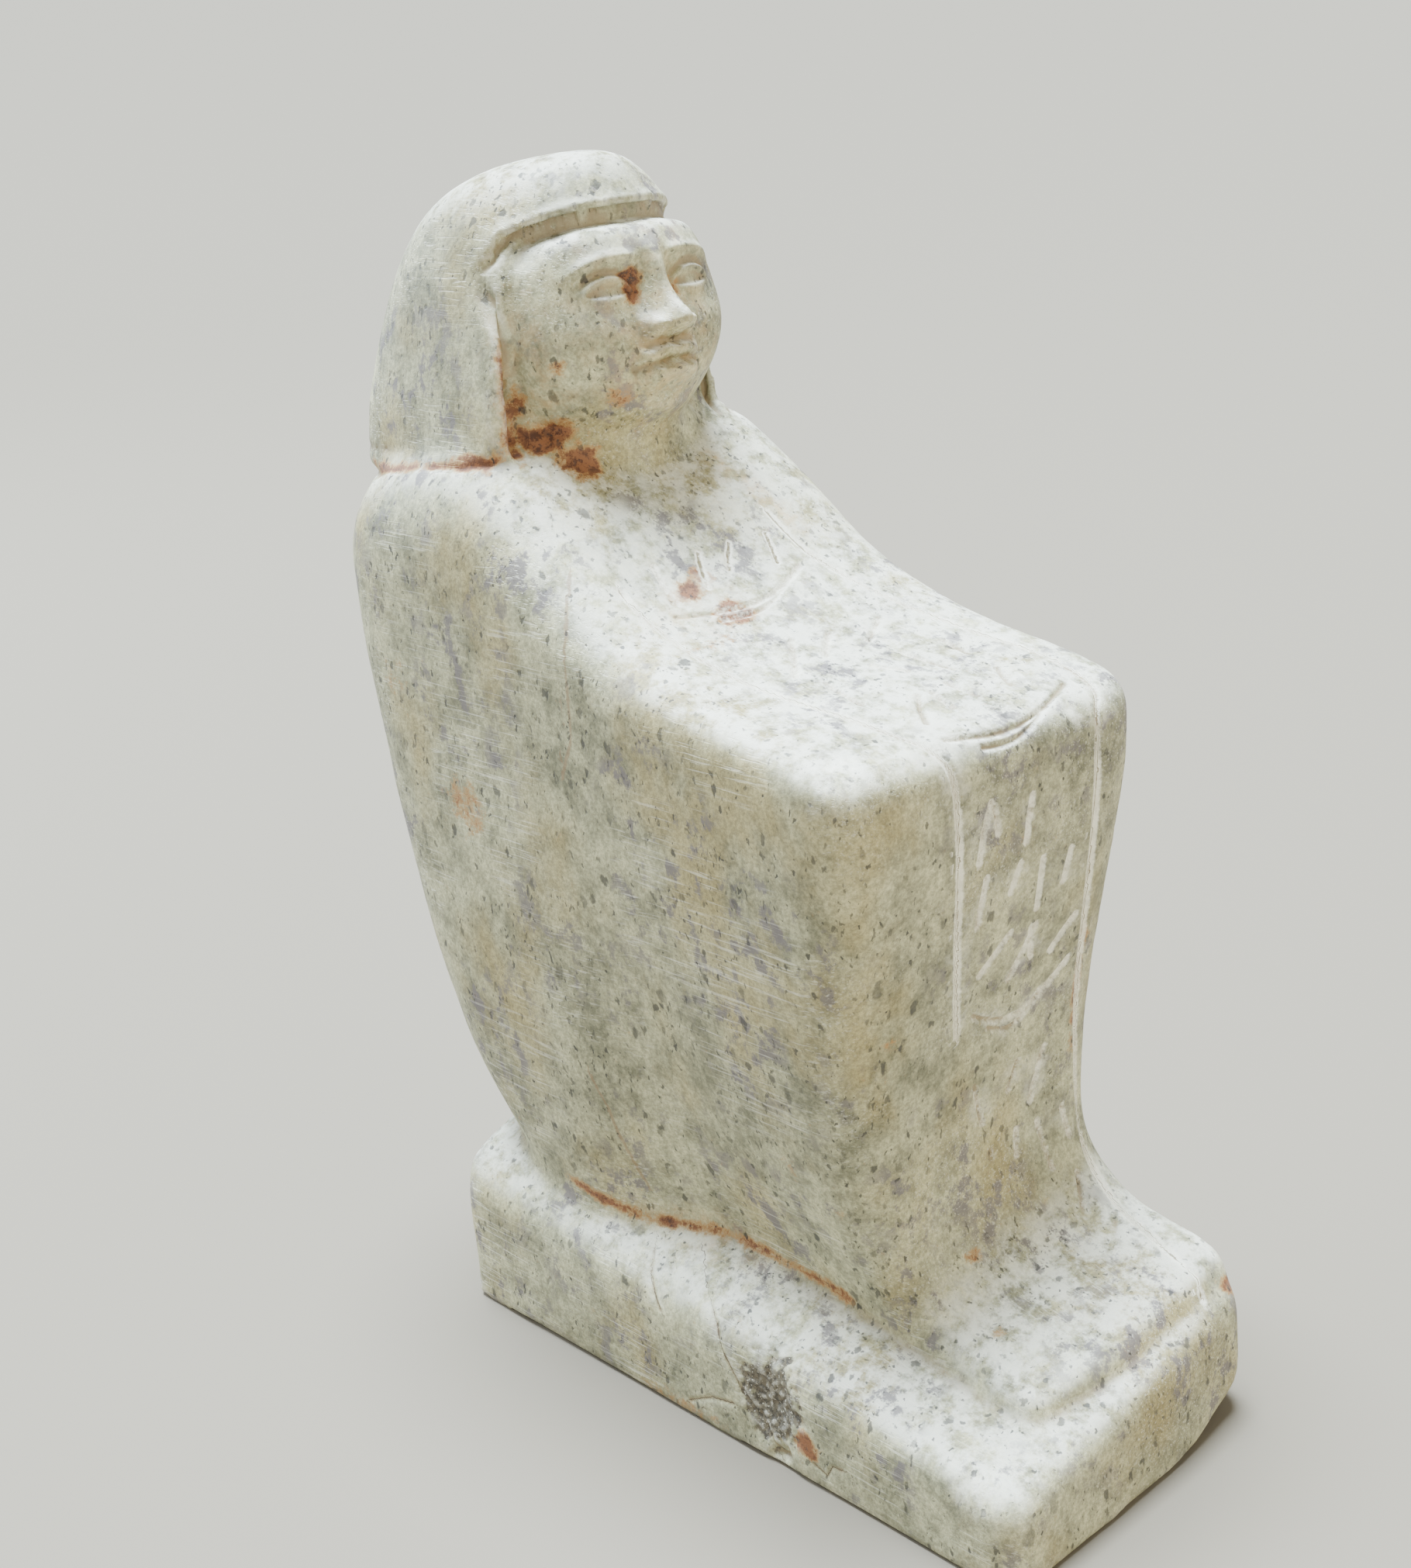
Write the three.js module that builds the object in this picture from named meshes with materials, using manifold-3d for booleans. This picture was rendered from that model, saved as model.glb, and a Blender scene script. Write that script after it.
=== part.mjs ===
// Block statue: a squatting figure wrapped in a cloak, on a low plinth, all carved from one stone.
// Millimetres, +Z up. The figure looks along -Y, and its right side is -X.
// The origin is the middle of the plinth's flat underside.

import * as THREE from 'three';
import Module from 'manifold-3d';
import { mergeVertices } from 'three/addons/utils/BufferGeometryUtils.js';

const wasm = await Module();
wasm.setup();

// Plinth: a hand-squared block whose top slopes down to the figure's right toe. The top's crown is a
// list of [y, height] from the toe to the back
const plinth = {
  halfWidth: 25,
  halfLength: 48.6,
  widerToBack: 0.035,
  frontSkew: 1.4,
  edgeHeightRightToe: 11.2,
  riseToBack: 7.8,
  riseToLeftAtToe: 5.8,
  riseToLeftAtBack: 2.5,
  crown: [[-48, 0.4], [-38, 0.5], [-31, 1.4], [-22, 2.2], [-10, 2.9], [0, 4], [12, 4.8]],
  crownAtLeftToe: 3.2,
  crownReach: 13,
  crownAtBackEdge: 11,
  cornerRadius: 2.6,
  topEdge: 2.6,
  bottomEdge: 0.9,
  leftToeRounding: 4,
  leftToeLoss: 0.8,
};

// Cloaked body: each list goes [height, value] up the body
const body = {
  front: [[8, -24], [30, -24], [45, -24.8], [62, -27.8], [78, -30.8], [90, -31.6]],
  back: [[8, 43], [20, 46.5], [27, 50.5], [35, 55], [43, 58], [60, 62], [77, 64.6], [95, 66.6], [118, 66.2]],
  seatWidth: [[8, 20], [20, 21.2], [35, 23.4], [60, 25], [87, 25.6], [118, 25.8]],
  rightShinWidth: [[8, 13.3], [14, 13.5], [20, 14], [35, 18.5], [60, 23], [87, 25.5], [118, 26]],
  leftShinWidth: [[8, 23.4], [20, 23.4], [35, 23.6], [60, 24.6], [87, 26], [118, 26]],
  kneeEndsAt: 25,
  shinCorner: 6,
  backCorner: 18,
};

// Top of the cloak over the knees, chest and shoulders: [y, value] from the knees to the back
const apron = {
  height: [[-30, 88.6], [-23, 90.6], [-6, 93.8], [4.7, 97.8], [11.5, 102], [21.4, 110.6], [30, 116.5],
    [37, 118.2], [46, 117.6], [57, 115.5], [68, 112.6]],
  edge: [[-30, 3.6], [-5, 4.6], [10, 7], [25, 10], [40, 13], [68, 12.5]],
  leftShoulderRise: 1.3,
};

// Feet: one low block that runs out from under the hem, as wide as the shins
const feet = {
  toe: -45,
  heel: 0,
  toeTurn: 0.1,
  heightAtToe: 17.1,
  riseToHeel: 4,
  riseToLeft: 0.14,
  sideEdge: 3.2,
  toeEdge: 2.4,
  hemFillet: 13,
};

const neck = {
  y: 37,
  halfDepth: 12.4,
  footHalfDepth: 14.4,
  widening: 1.25,
  bottom: 103,
  top: 123,
};

// Wig: a plain smooth dome over the ears, cut level on the shoulders
const wig = {
  crownY: 31,
  top: 150,
  rimHeight: 112,
  rimFront: 28,
  rimRise: 4.3,
  rimSlope: -0.13,
  backReach: 38,
  frontReach: 12,
  rightHalfWidth: 19.9,
  leftHalfWidth: 18.2,
  taper: 0.045,
  taperHeight: 130,
  sideRoundness: 2.2,
  frontRoundness: 1.62,
  backRoundness: 3.4,
};

// Opening of the wig round the face: a recess for the face, and a wider arch in front of the lappets
const opening = {
  recess: 16.7,
  recessFrom: 31.6,
  arch: 25,
  archTurn: 2.9,
  lappetFront: 30,
  temple: 15.8,
  templeHeight: 139.4,
  hairline: 143.6,
  reach: 40,
  bottom: 95,
};

// Face: a plain calm mask, in thirds from hairline to brow, brow to nose and nose to chin
const face = {
  centre: new THREE.Vector3(0, 37, 129.5),
  tilt: THREE.MathUtils.degToRad(16),
  halfWidth: 17.6,
  crownRise: 17.5,
  chinDrop: 16.8,
  depth: 17.4,
  fullness: 2.3,
  jawNarrowing: 0.16,
  foreheadNarrowing: 0.12,
  underWig: 14,
  brow: 2.8,
  third: 8.8,
  eyeWidth: 6,
};

// Rows of the surfaces: heights, [way back from the toe, rise] over the instep, and shares of the lap
const rows = {
  toeHeights: [8, 12, 14.6],
  instep: [[0, 0], [0.35, 0.4], [1.1, 0.9], [2.6, 1.25], [5.5, 1.8], [9.5, 2.6], [13.5, 4], [16.5, 6.5],
    [18.6, 10], [19.8, 14.5]],
  sides: 10,
  sidesFrom: 39,
  apronShares: [0.84, 0.68, 0.52, 0.36, 0.18],
  wigHeights: [119.5, 123, 126.5, 130, 133.4, 136.6, 139.6, 142.2, 144.4, 146.2, 147.7, 148.8, 149.5],
  plinthTopInsets: [5, 8, 12],
};

const clamp = THREE.MathUtils.clamp;
const lerp = THREE.MathUtils.lerp;
const smooth = (from, to, value) => {
  const share = clamp((value - from) / (to - from), 0, 1);
  return share * share * (3 - 2 * share);
};
const bump = (x, y, halfX, halfY) => Math.exp(-((x / halfX) ** 2) - (y / halfY) ** 2);

// Value at t on a smooth curve through the knots [t, value]
function through(knots, t) {
  const last = knots.length - 1;
  if (t <= knots[0][0]) return knots[0][1];
  if (t >= knots[last][0]) return knots[last][1];
  const i = knots.findIndex((knot) => knot[0] > t) - 1;
  const slope = (k) => {
    const before = knots[Math.max(k - 1, 0)];
    const after = knots[Math.min(k + 1, last)];
    return (after[1] - before[1]) / (after[0] - before[0]);
  };
  const span = knots[i + 1][0] - knots[i][0];
  const s = (t - knots[i][0]) / span;
  const start = knots[i][1] * (1 + 2 * s) * (1 - s) ** 2 + slope(i) * span * s * (1 - s) ** 2;
  const end = knots[i + 1][1] * s * s * (3 - 2 * s) - slope(i + 1) * span * s * s * (1 - s);
  return start + end;
}

// Depths are negative inside a form. Where two faces meet, the corner is rounded by radius
function roundedCorner(a, b, radius) {
  const past = Math.hypot(Math.max(a + radius, 0), Math.max(b + radius, 0));
  return Math.min(-radius, Math.max(a, b)) + past;
}

// Two forms that flow into each other over a fillet
function flowTogether(a, b, fillet) {
  const share = Math.max(fillet - Math.abs(a - b), 0) / fillet;
  return Math.min(a, b) - share * share * fillet * 0.25;
}

function plinthTop(x, y) {
  const back = (y + plinth.halfLength) / (2 * plinth.halfLength);
  const left = (x + plinth.halfWidth) / (2 * plinth.halfWidth);
  const edge = plinth.edgeHeightRightToe + plinth.riseToBack * back
    + left * lerp(plinth.riseToLeftAtToe, plinth.riseToLeftAtBack, back);
  const endReach = plinth.crownAtBackEdge * smooth(0, 30, y);
  const inward = Math.min(plinth.halfWidth - Math.abs(x), plinth.halfLength - Math.abs(y) + endReach);
  const leftToe = plinth.crownAtLeftToe * smooth(-4, 14, x) * smooth(-15, -35, y);
  const crown = Math.max(through(plinth.crown, y), leftToe);
  return edge + crown * Math.sin(clamp(inward / plinth.crownReach, 0, 1) * Math.PI / 2);
}

function rightWidth(y, z) {
  const shin = 1 - smooth(0, body.kneeEndsAt, y);
  return lerp(through(body.seatWidth, z), through(body.rightShinWidth, z), shin);
}

function leftWidth(y, z) {
  const shin = 1 - smooth(0, body.kneeEndsAt, y);
  return lerp(through(body.seatWidth, z), through(body.leftShinWidth, z), shin);
}

function feetTop(x, y) {
  const back = clamp((y - feet.toe) / (feet.heel - feet.toe), 0, 1);
  return feet.heightAtToe + feet.riseToLeft * x + feet.riseToHeel * Math.sqrt(back);
}

// Shins and feet seen from the side: the hem flows out over the feet to the toe edge
function frontDepth(p) {
  const feetAbove = p.z - feetTop(p.x, p.y);
  const toe = feet.toe + feet.toeTurn * Math.max(-p.x, 0);
  const feetFront = roundedCorner(feetAbove, toe - p.y, feet.toeEdge);
  return flowTogether(through(body.front, p.z) - p.y, feetFront, feet.hemFillet);
}

function apronTop(x, y) {
  const leftShoulder = smooth(0, 20, x) * smooth(22, 35, y);
  return through(apron.height, y) + apron.leftShoulderRise * leftShoulder;
}

function bodyDepth(p) {
  const sides = Math.max(p.x - leftWidth(p.y, p.z), -p.x - rightWidth(p.y, p.z));
  const corner = lerp(feet.sideEdge, body.shinCorner, smooth(20, 34, p.z));
  const withFront = roundedCorner(sides, frontDepth(p), corner);
  const withBack = roundedCorner(withFront, p.y - through(body.back, p.z), body.backCorner);
  return roundedCorner(withBack, p.z - apronTop(p.x, p.y), through(apron.edge, p.y));
}

// Place in the face's own frame: x across, y up the face, z out of it
function onFace(p) {
  const y = p.y - face.centre.y;
  const z = p.z - face.centre.z;
  const up = y * Math.sin(face.tilt) + z * Math.cos(face.tilt);
  const out = -y * Math.cos(face.tilt) + z * Math.sin(face.tilt);
  return new THREE.Vector3(p.x - face.centre.x, up, out);
}

// How far the features stand out of the plain mask
function featureHeight(x, y) {
  const across = Math.abs(x);
  const { brow, third, eyeWidth } = face;
  const noseBase = brow - third;
  const chin = noseBase - third;
  const eyeLevel = brow - third / 4;
  const mouth = noseBase - third / 3;
  const browRidge = 0.8 * bump(across - eyeWidth, y - brow - 0.6, 4.6, 1.2);
  const socket = -1.7 * bump(across - eyeWidth, y - eyeLevel, 4.4, 2.5);
  const eyeball = 1.7 * bump(across - eyeWidth, y - eyeLevel, 2.8, 1.4);
  const down = clamp((brow + 0.6 - y) / third, 0, 1);
  const ridge = lerp(1.7, 2.6, down);
  const noseEnd = smooth(noseBase - 0.9, noseBase + 0.6, y) * smooth(brow + 3.4, brow - 0.8, y);
  const nose = lerp(0.9, 4.2, down) * noseEnd * Math.exp(-((across / ridge) ** 2));
  const wings = 1.2 * bump(across - 2.5, y - noseBase - 1.3, 1.5, 1.4);
  const cheek = 0.9 * bump(across - 8.8, y - noseBase - 1.2, 4.6, 4.4);
  const muzzle = 1 * bump(x, y - mouth, 6.2, 4.2);
  const lips = 1.1 * bump(x, y - mouth, 4.6, 2);
  const lipLine = -0.6 * bump(x, y - mouth, 4.8, 0.6);
  const underLip = -0.7 * bump(x, y - mouth + 3.5, 4.6, 1);
  const chinBall = 1.6 * bump(x, y - chin - 2.3, 4.4, 2.7);
  return browRidge + socket + eyeball + nose + wings + cheek + muzzle + lips + lipLine + underLip + chinBall;
}

function faceDepth(p) {
  const q = onFace(p);
  const jaw = face.jawNarrowing * smooth(-2, -face.chinDrop, q.y);
  const forehead = face.foreheadNarrowing * smooth(0, 12, q.y);
  const halfHeight = q.y > 0 ? face.crownRise : face.chinDrop;
  const round = (Math.abs(q.x) / (face.halfWidth * (1 - jaw - forehead))) ** face.fullness
    + (Math.abs(q.y) / halfHeight) ** face.fullness
    + (Math.abs(q.z) / face.depth) ** face.fullness;
  const mask = (round ** (1 / face.fullness) - 1) * face.depth;
  const features = featureHeight(q.x, q.y) * smooth(2, 9, q.z);
  return Math.max(mask - features, q.y - face.underWig);
}

function wigDepth(p) {
  const back = p.y > wig.crownY;
  const along = Math.abs(p.y - wig.crownY) / (back ? wig.backReach : wig.frontReach);
  const up = Math.max(p.z - wig.rimHeight, 0) / (wig.top - wig.rimHeight);
  const sideView = (along ** wig.sideRoundness + up ** wig.sideRoundness) ** (1 / wig.sideRoundness);
  const across = Math.abs(p.x) / (p.x < 0 ? wig.rightHalfWidth : wig.leftHalfWidth);
  const roundness = lerp(wig.frontRoundness, wig.backRoundness, smooth(20, 46, p.y));
  const { taperHeight, rimHeight, top } = wig;
  const lean = 1 - wig.taper * smooth(rimHeight, taperHeight, p.z) * smooth(top, taperHeight, p.z);
  return (sideView ** roundness + across ** roundness) ** (1 / roundness) - lean;
}

// Point where a ray from inside first leaves the form
function leaves(depth, start, toward) {
  const direction = toward.clone().sub(start).normalize();
  const at = (distance) => start.clone().addScaledVector(direction, distance);
  let outside = 1;
  while (depth(at(outside)) < 0) outside += 1;
  let inside = outside - 1;
  for (let halving = 0; halving < 14; halving += 1) {
    const middle = (inside + outside) / 2;
    if (depth(at(middle)) < 0) inside = middle;
    else outside = middle;
  }
  return at(inside);
}

// Closed skin over rings of equal length, with a pole below the first and above the last. Each
// four-sided patch is split along the diagonal that lies closer to the form
function skin(rings, bottomPole, topPole, depth) {
  const columns = rings[0].length;
  const points = [bottomPole, ...rings.flat(), topPole];
  const at = (row, column) => 1 + row * columns + (column % columns);
  const misfit = (i, j) => (depth
    ? Math.abs(depth(points[i].clone().lerp(points[j], 0.5)))
    : points[i].distanceTo(points[j]));
  const faces = [];
  for (let column = 0; column < columns; column += 1) {
    faces.push(0, at(0, column + 1), at(0, column));
    for (let row = 0; row < rings.length - 1; row += 1) {
      const [a, b] = [at(row, column), at(row, column + 1)];
      const [c, d] = [at(row + 1, column + 1), at(row + 1, column)];
      if (misfit(a, c) <= misfit(b, d) * 1.4 + 0.015) faces.push(a, b, c, a, c, d);
      else faces.push(a, b, d, b, c, d);
    }
    faces.push(points.length - 1, at(rings.length - 1, column), at(rings.length - 1, column + 1));
  }
  const geometry = new THREE.BufferGeometry().setFromPoints(points);
  geometry.setIndex(faces);
  return geometry;
}

// Walk round a rectangle with rounded corners, anticlockwise from above, in even steps
function roundedOutline(right, left, front, back, frontCorner, backCorner, steps) {
  const shape = new THREE.Shape();
  const quarter = Math.PI / 2;
  shape.absarc(left - frontCorner, front + frontCorner, frontCorner, -quarter, 0);
  shape.absarc(left - backCorner, back - backCorner, backCorner, 0, quarter);
  shape.absarc(right + backCorner, back - backCorner, backCorner, quarter, 2 * quarter);
  shape.absarc(right + frontCorner, front + frontCorner, frontCorner, 2 * quarter, 3 * quarter);
  shape.closePath();
  return shape.getSpacedPoints(steps).slice(0, steps);
}

// The plinth isn't quite square: it widens to the back, and its left toe corner is worn round
function makePlinth() {
  const { halfWidth, halfLength, cornerRadius, topEdge, bottomEdge } = plinth;
  const steps = 64;
  const wornAt = (q) => smooth(0.2, 1, q.x / halfWidth) * smooth(0.5, 1, -q.y / halfLength);
  const ring = (inset, height, undercut = 0) => {
    const corner = Math.max(cornerRadius - inset, 0.4);
    const outline = roundedOutline(
      -halfWidth + inset, halfWidth - inset, -halfLength + inset, halfLength - inset, corner, corner, steps);
    return outline.map((q) => {
      const worn = wornAt(q);
      const loss = 1 - worn * (plinth.leftToeLoss + undercut * plinth.leftToeRounding) / halfWidth;
      const x = q.x * loss * (1 + plinth.widerToBack * q.y / halfLength);
      const skew = plinth.frontSkew * q.x / halfWidth * smooth(0, 1, -q.y / halfLength);
      const y = q.y * (1 - (1 - loss) / 2) + skew;
      return new THREE.Vector3(x, y, height(q, worn));
    });
  };
  const lift = (worn) => bottomEdge + worn * plinth.leftToeRounding;
  const rings = [ring(9, () => 0), ring(bottomEdge, () => 0, 1)];
  rings.push(ring(bottomEdge * 0.3, (q, worn) => lift(worn) * 0.3, 0.3));
  rings.push(ring(0, (q, worn) => lift(worn)));
  rings.push(ring(0, (q) => plinthTop(q.x, q.y) * 0.5));
  for (let step = 0; step <= 3; step += 1) {
    const turn = step * Math.PI / 6;
    const inset = topEdge * (1 - Math.cos(turn));
    rings.push(ring(inset, (q) => plinthTop(q.x, q.y) - topEdge * (1 - Math.sin(turn))));
  }
  for (const inset of rows.plinthTopInsets) rings.push(ring(inset, (q) => plinthTop(q.x, q.y)));
  return skin(rings, new THREE.Vector3(0, 0, 0), new THREE.Vector3(0, 0, plinthTop(0, 0)));
}

// Rays run outwards from the middle of the body to aims spread over its faces and edges
function makeBody() {
  const steps = 66;
  const nominal = roundedOutline(-25.5, 25.5, 0, 95, body.shinCorner, body.backCorner, steps);
  const target = (q, z, toe = through(body.front, z)) => {
    const y = lerp(toe, through(body.back, z), q.y / 95);
    const width = q.x < 0 ? rightWidth(y, z) : leftWidth(y, z);
    return new THREE.Vector3(q.x / 25.5 * width, y, z);
  };
  const middleOf = (place) => new THREE.Vector3(0, clamp(place.y, 0, 45), place.z);
  const startFor = (aim) => new THREE.Vector3(aim.x * 0.2, 14 + 0.35 * (aim.y - 14), Math.min(aim.z, 78));
  const ring = (aimOf) => nominal.map((q) => {
    const aim = aimOf(q);
    return leaves(bodyDepth, startFor(aim), aim);
  });
  const rings = [];
  for (const z of rows.toeHeights) rings.push(ring((q) => target(q, z, feet.toe)));
  for (const [back, rise] of rows.instep) {
    rings.push(ring((q) => {
      const aim = target(q, 15.4 + rise * 1.25, feet.toe + back);
      const front = 1 - smooth(-30, 10, aim.y);
      aim.z += front * feet.riseToLeft * aim.x * (1 - smooth(6, 14, rise));
      return aim;
    }));
  }
  const topAt = (q) => apronTop(target(q, 100).x, target(q, 100).y);
  const edgeAt = (q) => through(apron.edge, target(q, 100).y);
  for (let row = 0; row < rows.sides; row += 1) {
    const share = row / (rows.sides - 1);
    rings.push(ring((q) => target(q, lerp(rows.sidesFrom, topAt(q) - edgeAt(q) - 1.5, share))));
  }
  for (let step = 0; step <= 5; step += 1) {
    const turn = step * Math.PI / 10;
    rings.push(ring((q) => {
      const edge = edgeAt(q);
      const aim = target(q, topAt(q) - edge);
      const middle = middleOf(aim);
      aim.lerp(middle, edge * (1 - Math.cos(turn)) / aim.distanceTo(middle));
      aim.z = topAt(q) - edge * (1 - Math.sin(turn));
      return aim;
    }));
  }
  for (const share of rows.apronShares) {
    rings.push(ring((q) => {
      const aim = target(q, topAt(q) - edgeAt(q));
      aim.lerp(middleOf(aim), edgeAt(q) / aim.distanceTo(middleOf(aim)));
      aim.x *= share;
      aim.y = lerp(20, aim.y, share);
      aim.z = apronTop(aim.x, aim.y);
      return aim;
    }));
  }
  const pole = leaves(bodyDepth, new THREE.Vector3(0, 20, 78), new THREE.Vector3(0, 20, 100));
  return skin(rings, new THREE.Vector3(0, 5, 8), pole, bodyDepth);
}

function makeWig() {
  const columns = 56;
  const directions = [];
  for (let column = 0; column < columns; column += 1) {
    const turn = column / columns * 2 * Math.PI;
    directions.push(new THREE.Vector3(Math.sin(turn), -Math.cos(turn), 0));
  }
  const ring = (z) => directions.map((direction) => {
    const axis = new THREE.Vector3(0, wig.crownY + 6, z);
    return leaves(wigDepth, axis, axis.clone().add(direction));
  });
  const rim = ring(wig.rimHeight);
  for (const p of rim) p.z = wig.rimHeight + wig.rimRise + wig.rimSlope * (p.y - wig.rimFront);
  const rings = [rim.map((p) => new THREE.Vector3(p.x * 0.9, lerp(wig.crownY, p.y, 0.9), p.z)), rim];
  for (const z of rows.wigHeights) rings.push(ring(z));
  const rimMiddle = wig.rimHeight + wig.rimRise + wig.rimSlope * (wig.crownY - wig.rimFront);
  const crown = new THREE.Vector3(0, wig.crownY + 1, wig.top);
  return skin(rings, new THREE.Vector3(0, wig.crownY, rimMiddle), crown);
}

// Matrix that places a form modelled in the face's own frame
function faceFrame() {
  const up = new THREE.Vector3(0, Math.sin(face.tilt), Math.cos(face.tilt));
  const out = new THREE.Vector3(0, -Math.cos(face.tilt), Math.sin(face.tilt));
  return new THREE.Matrix4().makeBasis(new THREE.Vector3(1, 0, 0), up, out).setPosition(face.centre);
}

function makeOpening() {
  const { temple, templeHeight, hairline, bottom, reach } = opening;
  const cutter = (halfWidth, from, turn) => {
    const shape = new THREE.Shape();
    shape.moveTo(-halfWidth, bottom);
    shape.lineTo(halfWidth, bottom);
    shape.lineTo(halfWidth, templeHeight - (halfWidth - temple));
    shape.lineTo(temple, templeHeight);
    shape.bezierCurveTo(temple - 2, templeHeight + 3.2, 7, hairline, 0, hairline);
    shape.bezierCurveTo(-7, hairline, 2 - temple, templeHeight + 3.2, -temple, templeHeight);
    shape.lineTo(-halfWidth, templeHeight - (halfWidth - temple));
    shape.closePath();
    const block = new THREE.ExtrudeGeometry(shape, { depth: reach, bevelEnabled: false, curveSegments: 8 });
    return solid(block.rotateX(Math.PI / 2).translate(0, from, 0)).rotate([0, 0, turn]);
  };
  const recess = cutter(opening.recess, opening.recessFrom, 0);
  return recess.add(cutter(opening.arch, opening.lappetFront, opening.archTurn));
}

function makeFace() {
  const start = face.centre.clone();
  const turns = [];
  for (let turn = -76; turn <= 76; turn += 4) turns.push(turn);
  for (let turn = 105; turn < 270; turn += 30) turns.push(turn);
  const climbs = [-72, -62];
  for (let climb = -54; climb <= 50; climb += 3.6) climbs.push(climb);
  climbs.push(58, 70);
  const rayEnd = (turn, climb) => {
    const ahead = Math.cos(climb) * Math.cos(turn);
    const direction = new THREE.Vector3(Math.cos(climb) * Math.sin(turn), Math.sin(climb), ahead);
    direction.transformDirection(faceFrame());
    return leaves(faceDepth, start, start.clone().add(direction));
  };
  const radians = THREE.MathUtils.degToRad;
  const rings = climbs.map((climb) => turns.map((turn) => rayEnd(radians(turn), radians(climb))));
  return skin(rings, rayEnd(0, radians(-90)), rayEnd(0, radians(90)), faceDepth);
}

function makeNeck() {
  const column = new THREE.CylinderGeometry(neck.halfDepth, neck.footHalfDepth, neck.top - neck.bottom, 40);
  column.scale(neck.widening, 1, 1).rotateX(Math.PI / 2);
  return column.translate(0, neck.y, (neck.top + neck.bottom) / 2);
}

// Solid for joining, from a closed surface whose shared corners are merged
function solid(geometry) {
  const bare = new THREE.BufferGeometry();
  bare.setAttribute('position', geometry.getAttribute('position'));
  bare.setIndex(geometry.getIndex());
  const merged = mergeVertices(bare, 1e-4);
  const vertProperties = new Float32Array(merged.getAttribute('position').array);
  const triVerts = new Uint32Array(merged.getIndex().array);
  return new wasm.Manifold(new wasm.Mesh({ numProp: 3, vertProperties, triVerts }));
}

function carveStatue() {
  const head = solid(makeWig()).subtract(makeOpening()).add(solid(makeFace())).add(solid(makeNeck()));
  const joined = solid(makeBody()).add(solid(makePlinth())).add(head);
  const { vertProperties, triVerts } = joined.getMesh();
  const geometry = new THREE.BufferGeometry();
  geometry.setAttribute('position', new THREE.BufferAttribute(vertProperties, 3));
  geometry.setIndex(new THREE.BufferAttribute(triVerts, 1));
  geometry.computeVertexNormals();
  return geometry;
}

const stone = new THREE.MeshStandardMaterial({ color: 0xbdb9a4, roughness: 0.72, metalness: 0 });

const statue = new THREE.Mesh(carveStatue(), stone);
statue.name = 'block_statue';

const part = new THREE.Group();
part.add(statue);

export default part;
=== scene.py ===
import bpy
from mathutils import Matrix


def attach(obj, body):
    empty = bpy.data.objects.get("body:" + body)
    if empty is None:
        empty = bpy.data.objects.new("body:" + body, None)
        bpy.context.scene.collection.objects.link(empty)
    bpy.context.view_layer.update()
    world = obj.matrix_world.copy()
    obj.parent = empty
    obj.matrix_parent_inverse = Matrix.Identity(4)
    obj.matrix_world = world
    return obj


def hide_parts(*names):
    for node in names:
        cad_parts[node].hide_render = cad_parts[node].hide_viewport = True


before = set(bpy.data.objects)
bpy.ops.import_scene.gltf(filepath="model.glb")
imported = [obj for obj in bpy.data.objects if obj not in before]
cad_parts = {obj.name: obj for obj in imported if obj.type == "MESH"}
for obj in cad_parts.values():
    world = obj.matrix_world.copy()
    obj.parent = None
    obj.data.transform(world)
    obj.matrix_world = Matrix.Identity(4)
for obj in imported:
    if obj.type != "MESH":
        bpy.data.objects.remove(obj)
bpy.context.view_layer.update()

import math

import bpy
import numpy as np
from bpy.props import FloatProperty, FloatVectorProperty, IntProperty, PointerProperty
from mathutils import Matrix, Vector

bl_info = {
    "name": "Block Statue",
    "version": (1, 0, 0),
    "blender": (4, 5, 0),
    "location": "View3D > Sidebar > Block Statue",
    "description": "Finishes a small carved stone block statue and sets it on a studio floor",
    "category": "Object",
}

# Places and sizes in the carving functions are millimetres in the statue's own frame:
# +Z up, the figure looks along -Y, its right side is -X, the plinth stands on z = 0.
MM = 0.001
NODE = "block_statue"


# Curves and random fields

def smoothstep(low, high, value):
    """0 at low, 1 at high and a soft rise between them. Low may be above high."""
    share = np.clip((value - low) / (high - low), 0.0, 1.0)
    return share * share * (3.0 - 2.0 * share)


def mix(low, high, share):
    """The value a share of the way from low to high."""
    return low + (high - low) * share


def hump(distance, width):
    """1 at no distance, fading softly to 0 within about twice the width."""
    return np.exp(-(distance / width) ** 2)


def cloud(points, size, seed):
    """Smooth random values from -1 to 1 that change over about size."""
    cells = 32
    lattice = np.random.default_rng(seed).uniform(-1.0, 1.0, (cells, cells, cells))
    low = np.floor(points / size).astype(int)
    part = points / size - low
    part = part * part * (3.0 - 2.0 * part)
    total = np.zeros(len(points))
    for corner in np.ndindex(2, 2, 2):
        share = np.prod(np.where(corner, part, 1.0 - part), axis=1)
        at = (low + corner) % cells
        total += share * lattice[at[:, 0], at[:, 1], at[:, 2]]
    return total


def waves(points, layers):
    """Sum of clouds, each given as its height, size and seed."""
    return sum(height * cloud(points, size, seed) for height, size, seed in layers)


def to_path(points, path):
    """Distance of each point to a path of straight pieces."""
    nearest = np.full(len(points), 1e9)
    for start, end in zip(path[:-1], path[1:]):
        start, end = np.array(start, float), np.array(end, float)
        along = end - start
        share = np.clip((points - start) @ along / (along @ along), 0.0, 1.0)
        gap = np.linalg.norm(points - start - share[:, None] * along, axis=1)
        nearest = np.minimum(nearest, gap)
    return nearest


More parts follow.
